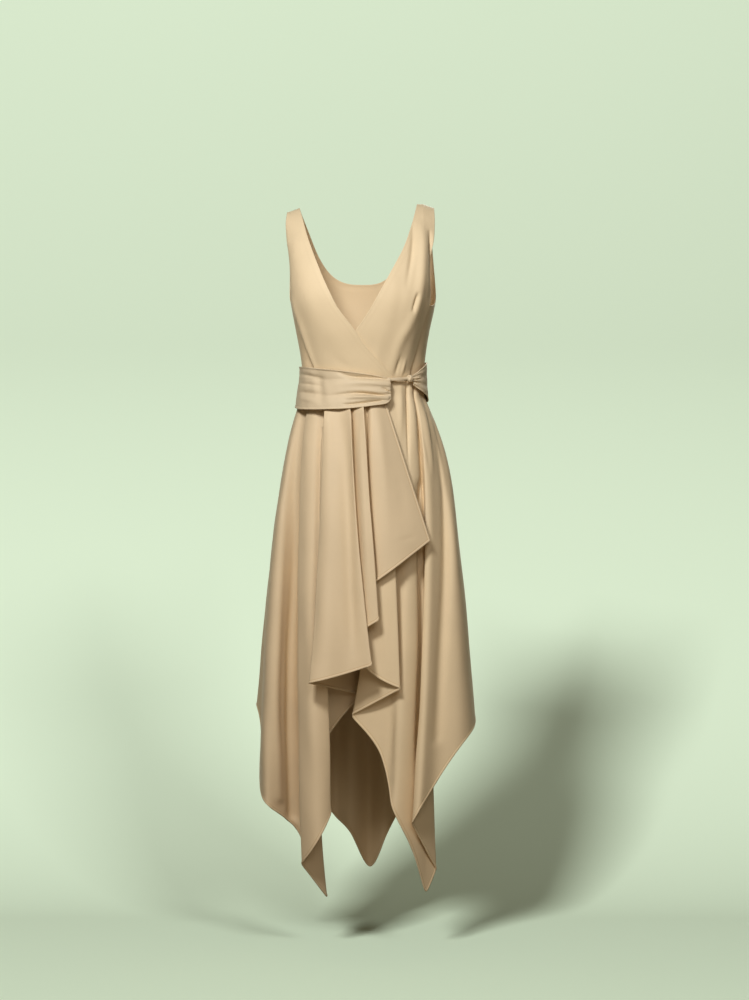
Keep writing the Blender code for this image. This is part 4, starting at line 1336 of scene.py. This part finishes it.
def stage_material(name, colour):
    """Matt painted paper with a barely uneven surface, clear when it is seen from behind."""
    material, tree, shader = new_material(name, specular=0.1)
    link = tree.links.new
    shader.inputs["Roughness"].default_value = 0.9
    places = tree.nodes.new("ShaderNodeTexCoord")
    cloud = add_node(tree, "ShaderNodeTexNoise", (-500, 0), Scale=0.6, Detail=2.0)
    link(places.outputs["Object"], cloud.inputs["Vector"])
    mix = tree.nodes.new("ShaderNodeMix")
    mix.data_type = "RGBA"
    mix.inputs["A"].default_value = (*(0.985 * c for c in colour), 1.0)
    mix.inputs["B"].default_value = (*colour, 1.0)
    link(cloud.outputs["Fac"], mix.inputs["Factor"])
    link(mix.outputs["Result"], shader.inputs["Base Color"])
    side = tree.nodes.new("ShaderNodeNewGeometry")
    clear = tree.nodes.new("ShaderNodeBsdfTransparent")
    one_way = tree.nodes.new("ShaderNodeMixShader")
    link(side.outputs["Backfacing"], one_way.inputs["Fac"])
    link(shader.outputs["BSDF"], one_way.inputs[1])
    link(clear.outputs["BSDF"], one_way.inputs[2])
    link(one_way.outputs["Shader"], tree.nodes["Material Output"].inputs["Surface"])
    return material


def stage_backdrop(material):
    """One sweep of paper: floor, a wide curve, and the wall behind."""
    floor_from, curve_from, radius, wall_top, half_width = -9.0, 0.3, 1.3, 5.0, 9.0
    turn = np.radians(np.linspace(0, 90, 40))[1:]
    floor = [(y, FLOOR_Z) for y in np.linspace(floor_from, curve_from, 12)]
    curve = [(curve_from + radius * np.sin(a), FLOOR_Z + radius * (1 - np.cos(a))) for a in turn]
    wall = [(curve_from + radius, z) for z in np.linspace(FLOOR_Z + radius, wall_top, 9)[1:]]
    across = np.linspace(-half_width, half_width, 5)
    sweep = shaped_grid(np.array([[(x, y, z) for x in across] for y, z in floor + curve + wall]))
    sweep.normal_update()
    if sum(face.normal.z for face in sweep.faces) < 0:
        bmesh.ops.reverse_faces(sweep, faces=sweep.faces)
    backdrop = made_object("backdrop", sweep, material)
    backdrop.visible_diffuse = False  # its colour doesn't tint the cloth
    return backdrop


def area_light(name, place, target, size, power, colour):
    """A rectangular light at a place, turned to its target."""
    data = bpy.data.lights.new(name, "AREA")
    data.shape = "RECTANGLE"
    data.size, data.size_y = size
    data.energy = power
    data.color = colour
    light = placed(name, data)
    light.location = place
    light.rotation_euler = (Vector(target) - Vector(place)).to_track_quat("-Z", "Y").to_euler()
    return light


def lit_by(light, backdrop, state):
    """Sets whether the backdrop is all that a light shines on, or the only thing it leaves out."""
    takes = bpy.data.collections.new(light.name + "_takes")
    takes.objects.link(backdrop)
    takes.collection_objects[0].light_linking.link_state = state
    light.light_linking.receiver_collection = takes


def stage_lights(backdrop):
    """Lights for the cloth, and two that only the backdrop takes. The cloth shadows all of them."""
    look = bpy.context.scene.dress_stage
    warm, warmer, white = (1.0, 0.99, 0.96), (1.0, 0.81, 0.60), (1.0, 1.0, 1.0)
    for light in (
        area_light("key", (-0.44, -1.6, 0.55), (0, 0, -0.45), (0.34, 0.34), look.key, warm),
        area_light("fill", (0.5, -3.0, 0.7), (0, 0, -0.5), (1.4, 1.1), look.fill, warm),
        area_light("bounce", (0.0, -1.5, -1.40), (0, 0.2, -0.9), (1.6, 1.0), look.bounce, warmer),
        area_light("rear", (0.5, 1.45, 0.5), (0, 0, -0.6), (0.8, 0.8), look.rear, warm),
    ):
        light.visible_camera = False
        lit_by(light, backdrop, "EXCLUDE")
    for light in (
        area_light("backdrop_key", (-4.0, -9.5, 6.9), (0.3, 1.0, -0.8), (2.2, 2.2),
                   look.backdrop_key, white),
        area_light("backdrop_fill", (4.5, -9.0, 5.7), (0, 1.0, -0.8), (2.6, 2.6),
                   look.backdrop_fill, white),
    ):
        lit_by(light, backdrop, "INCLUDE")
    world = bpy.data.worlds.new("studio")
    world.use_nodes = True
    sky = world.node_tree.nodes["Background"]
    sky.inputs["Color"].default_value = (1.0, 0.79, 0.52, 1.0)
    sky.inputs["Strength"].default_value = look.sky
    bpy.context.scene.world = world


def stage_camera():
    """The camera, level with the middle of the dress and straight in front of it."""
    data = bpy.data.cameras.new("camera")
    data.lens = CAMERA_LENS
    data.sensor_width = CAMERA_SENSOR
    camera = placed("camera", data)
    camera.location = CENTRE + Vector((0.0, -CAMERA_DISTANCE, 0.0))
    camera.rotation_euler = (np.radians(90), 0.0, 0.0)
    bpy.context.scene.camera = camera


class DRESS_OT_bodice(bpy.types.Operator):
    """Adds the two crossed fronts and the back of the bodice"""

    bl_idname = "dress.bodice"
    bl_label = "Bodice"

    def execute(self, context):
        front = finish_named("crepe_front")
        over = front_bodice(
            "bodice_front_over", FRONT_OVER, 2 * LAYER, OVER_BODICE_CREASES, front
        )
        under = front_bodice(
            "bodice_front_under", FRONT_UNDER, LAYER, UNDER_BODICE_CREASES, front
        )
        back = back_bodice(finish_named("crepe_rear"))
        return {"FINISHED"}


class DRESS_OT_skirt(bpy.types.Operator):
    """Adds the two wrapped skirt fronts and the skirt back, each with its folds and rolled hem"""

    bl_idname = "dress.skirt"
    bl_label = "Skirt"

    def execute(self, context):
        # The outer front takes the wrap colour, the fronts' crepe darkened with painted shade.
        over = skirt_panel(
            "skirt_front_over", ("right_seam", "over_edge"), OVER_SKIRT_CREASES, OVER_SKIRT_GAPS,
            (0, -1, 0), OVER_GRID, finish_named("crepe_wrap_painted_shade"),
        )
        under = skirt_panel(
            "skirt_front_under", ("under_edge", "left_seam"), UNDER_SKIRT_CREASES, (),
            (0.3, -1, 0), UNDER_GRID, finish_named("crepe_front"),
        )
        back = skirt_panel(
            "skirt_back", ("left_seam", "right_seam"), BACK_SKIRT_CREASES, (),
            (0, 1, 0), BACK_GRID, finish_named("crepe_rear"),
        )
        return {"FINISHED"}


class DRESS_OT_sash(bpy.types.Operator):
    """Adds the sash's folded bands, its twisted tie and its knot"""

    bl_idname = "dress.sash"
    bl_label = "Sash"

    def execute(self, context):
        cloth = finish_named("crepe_sash")
        front = sash_band("sash_front", SASH_FRONT, SASH_COLUMNS, SASH_CREASES, 0.25, cloth)
        back = sash_band("sash_back", SASH_BACK, SASH_COLUMNS, (), 1.0, cloth)
        end = sash_band("sash_end", SASH_END, SASH_END_COLUMNS, SASH_END_CREASES, 0.5, cloth)
        tie = sash_tie(cloth)
        sash_knot(cloth)
        knot_wrap(cloth)
        return {"FINISHED"}


class DRESS_OT_stage(bpy.types.Operator):
    """Adds the floor and backdrop, the studio lights and the camera"""

    bl_idname = "dress.stage"
    bl_label = "Stage"

    def execute(self, context):
        paper = stage_material("backdrop_paper", context.scene.dress_stage.backdrop)
        stage_lights(stage_backdrop(paper))
        stage_camera()
        context.scene.view_settings.view_transform = "Standard"
        context.scene.view_settings.look = "Medium High Contrast"
        return {"FINISHED"}


class DRESS_PT_panel(bpy.types.Panel):
    """Lists the dress's sizes, colours and pieces"""

    bl_label = "Wrap dress"
    bl_idname = "DRESS_PT_panel"
    bl_space_type = "VIEW_3D"
    bl_region_type = "UI"
    bl_category = "Dress"

    def draw(self, context):
        for settings in ("dress_sizes", "dress_finish", "dress_stage"):
            group = getattr(context.scene, settings)
            box = self.layout.box()
            for label in group.__annotations__:
                box.prop(group, label)
        for operator in OPERATORS:
            self.layout.operator(operator.bl_idname)


OPERATORS = (DRESS_OT_bodice, DRESS_OT_skirt, DRESS_OT_sash, DRESS_OT_stage)
SETTINGS = {
    "dress_sizes": DressSizes,
    "dress_finish": DressFinish,
    "dress_stage": StageLook,
}


def register():
    for settings in SETTINGS.values():
        bpy.utils.register_class(settings)
    for operator in OPERATORS:
        bpy.utils.register_class(operator)
    bpy.utils.register_class(DRESS_PT_panel)
    for name, settings in SETTINGS.items():
        setattr(bpy.types.Scene, name, PointerProperty(type=settings))


def unregister():
    for name in SETTINGS:
        delattr(bpy.types.Scene, name)
    bpy.utils.unregister_class(DRESS_PT_panel)
    for operator in reversed(OPERATORS):
        bpy.utils.unregister_class(operator)
    for settings in reversed(SETTINGS.values()):
        bpy.utils.unregister_class(settings)


def main():
    register()
    bpy.ops.dress.bodice()
    bpy.ops.dress.skirt()
    bpy.ops.dress.sash()
    bpy.ops.dress.stage()


if __name__ == "__main__":
    main()
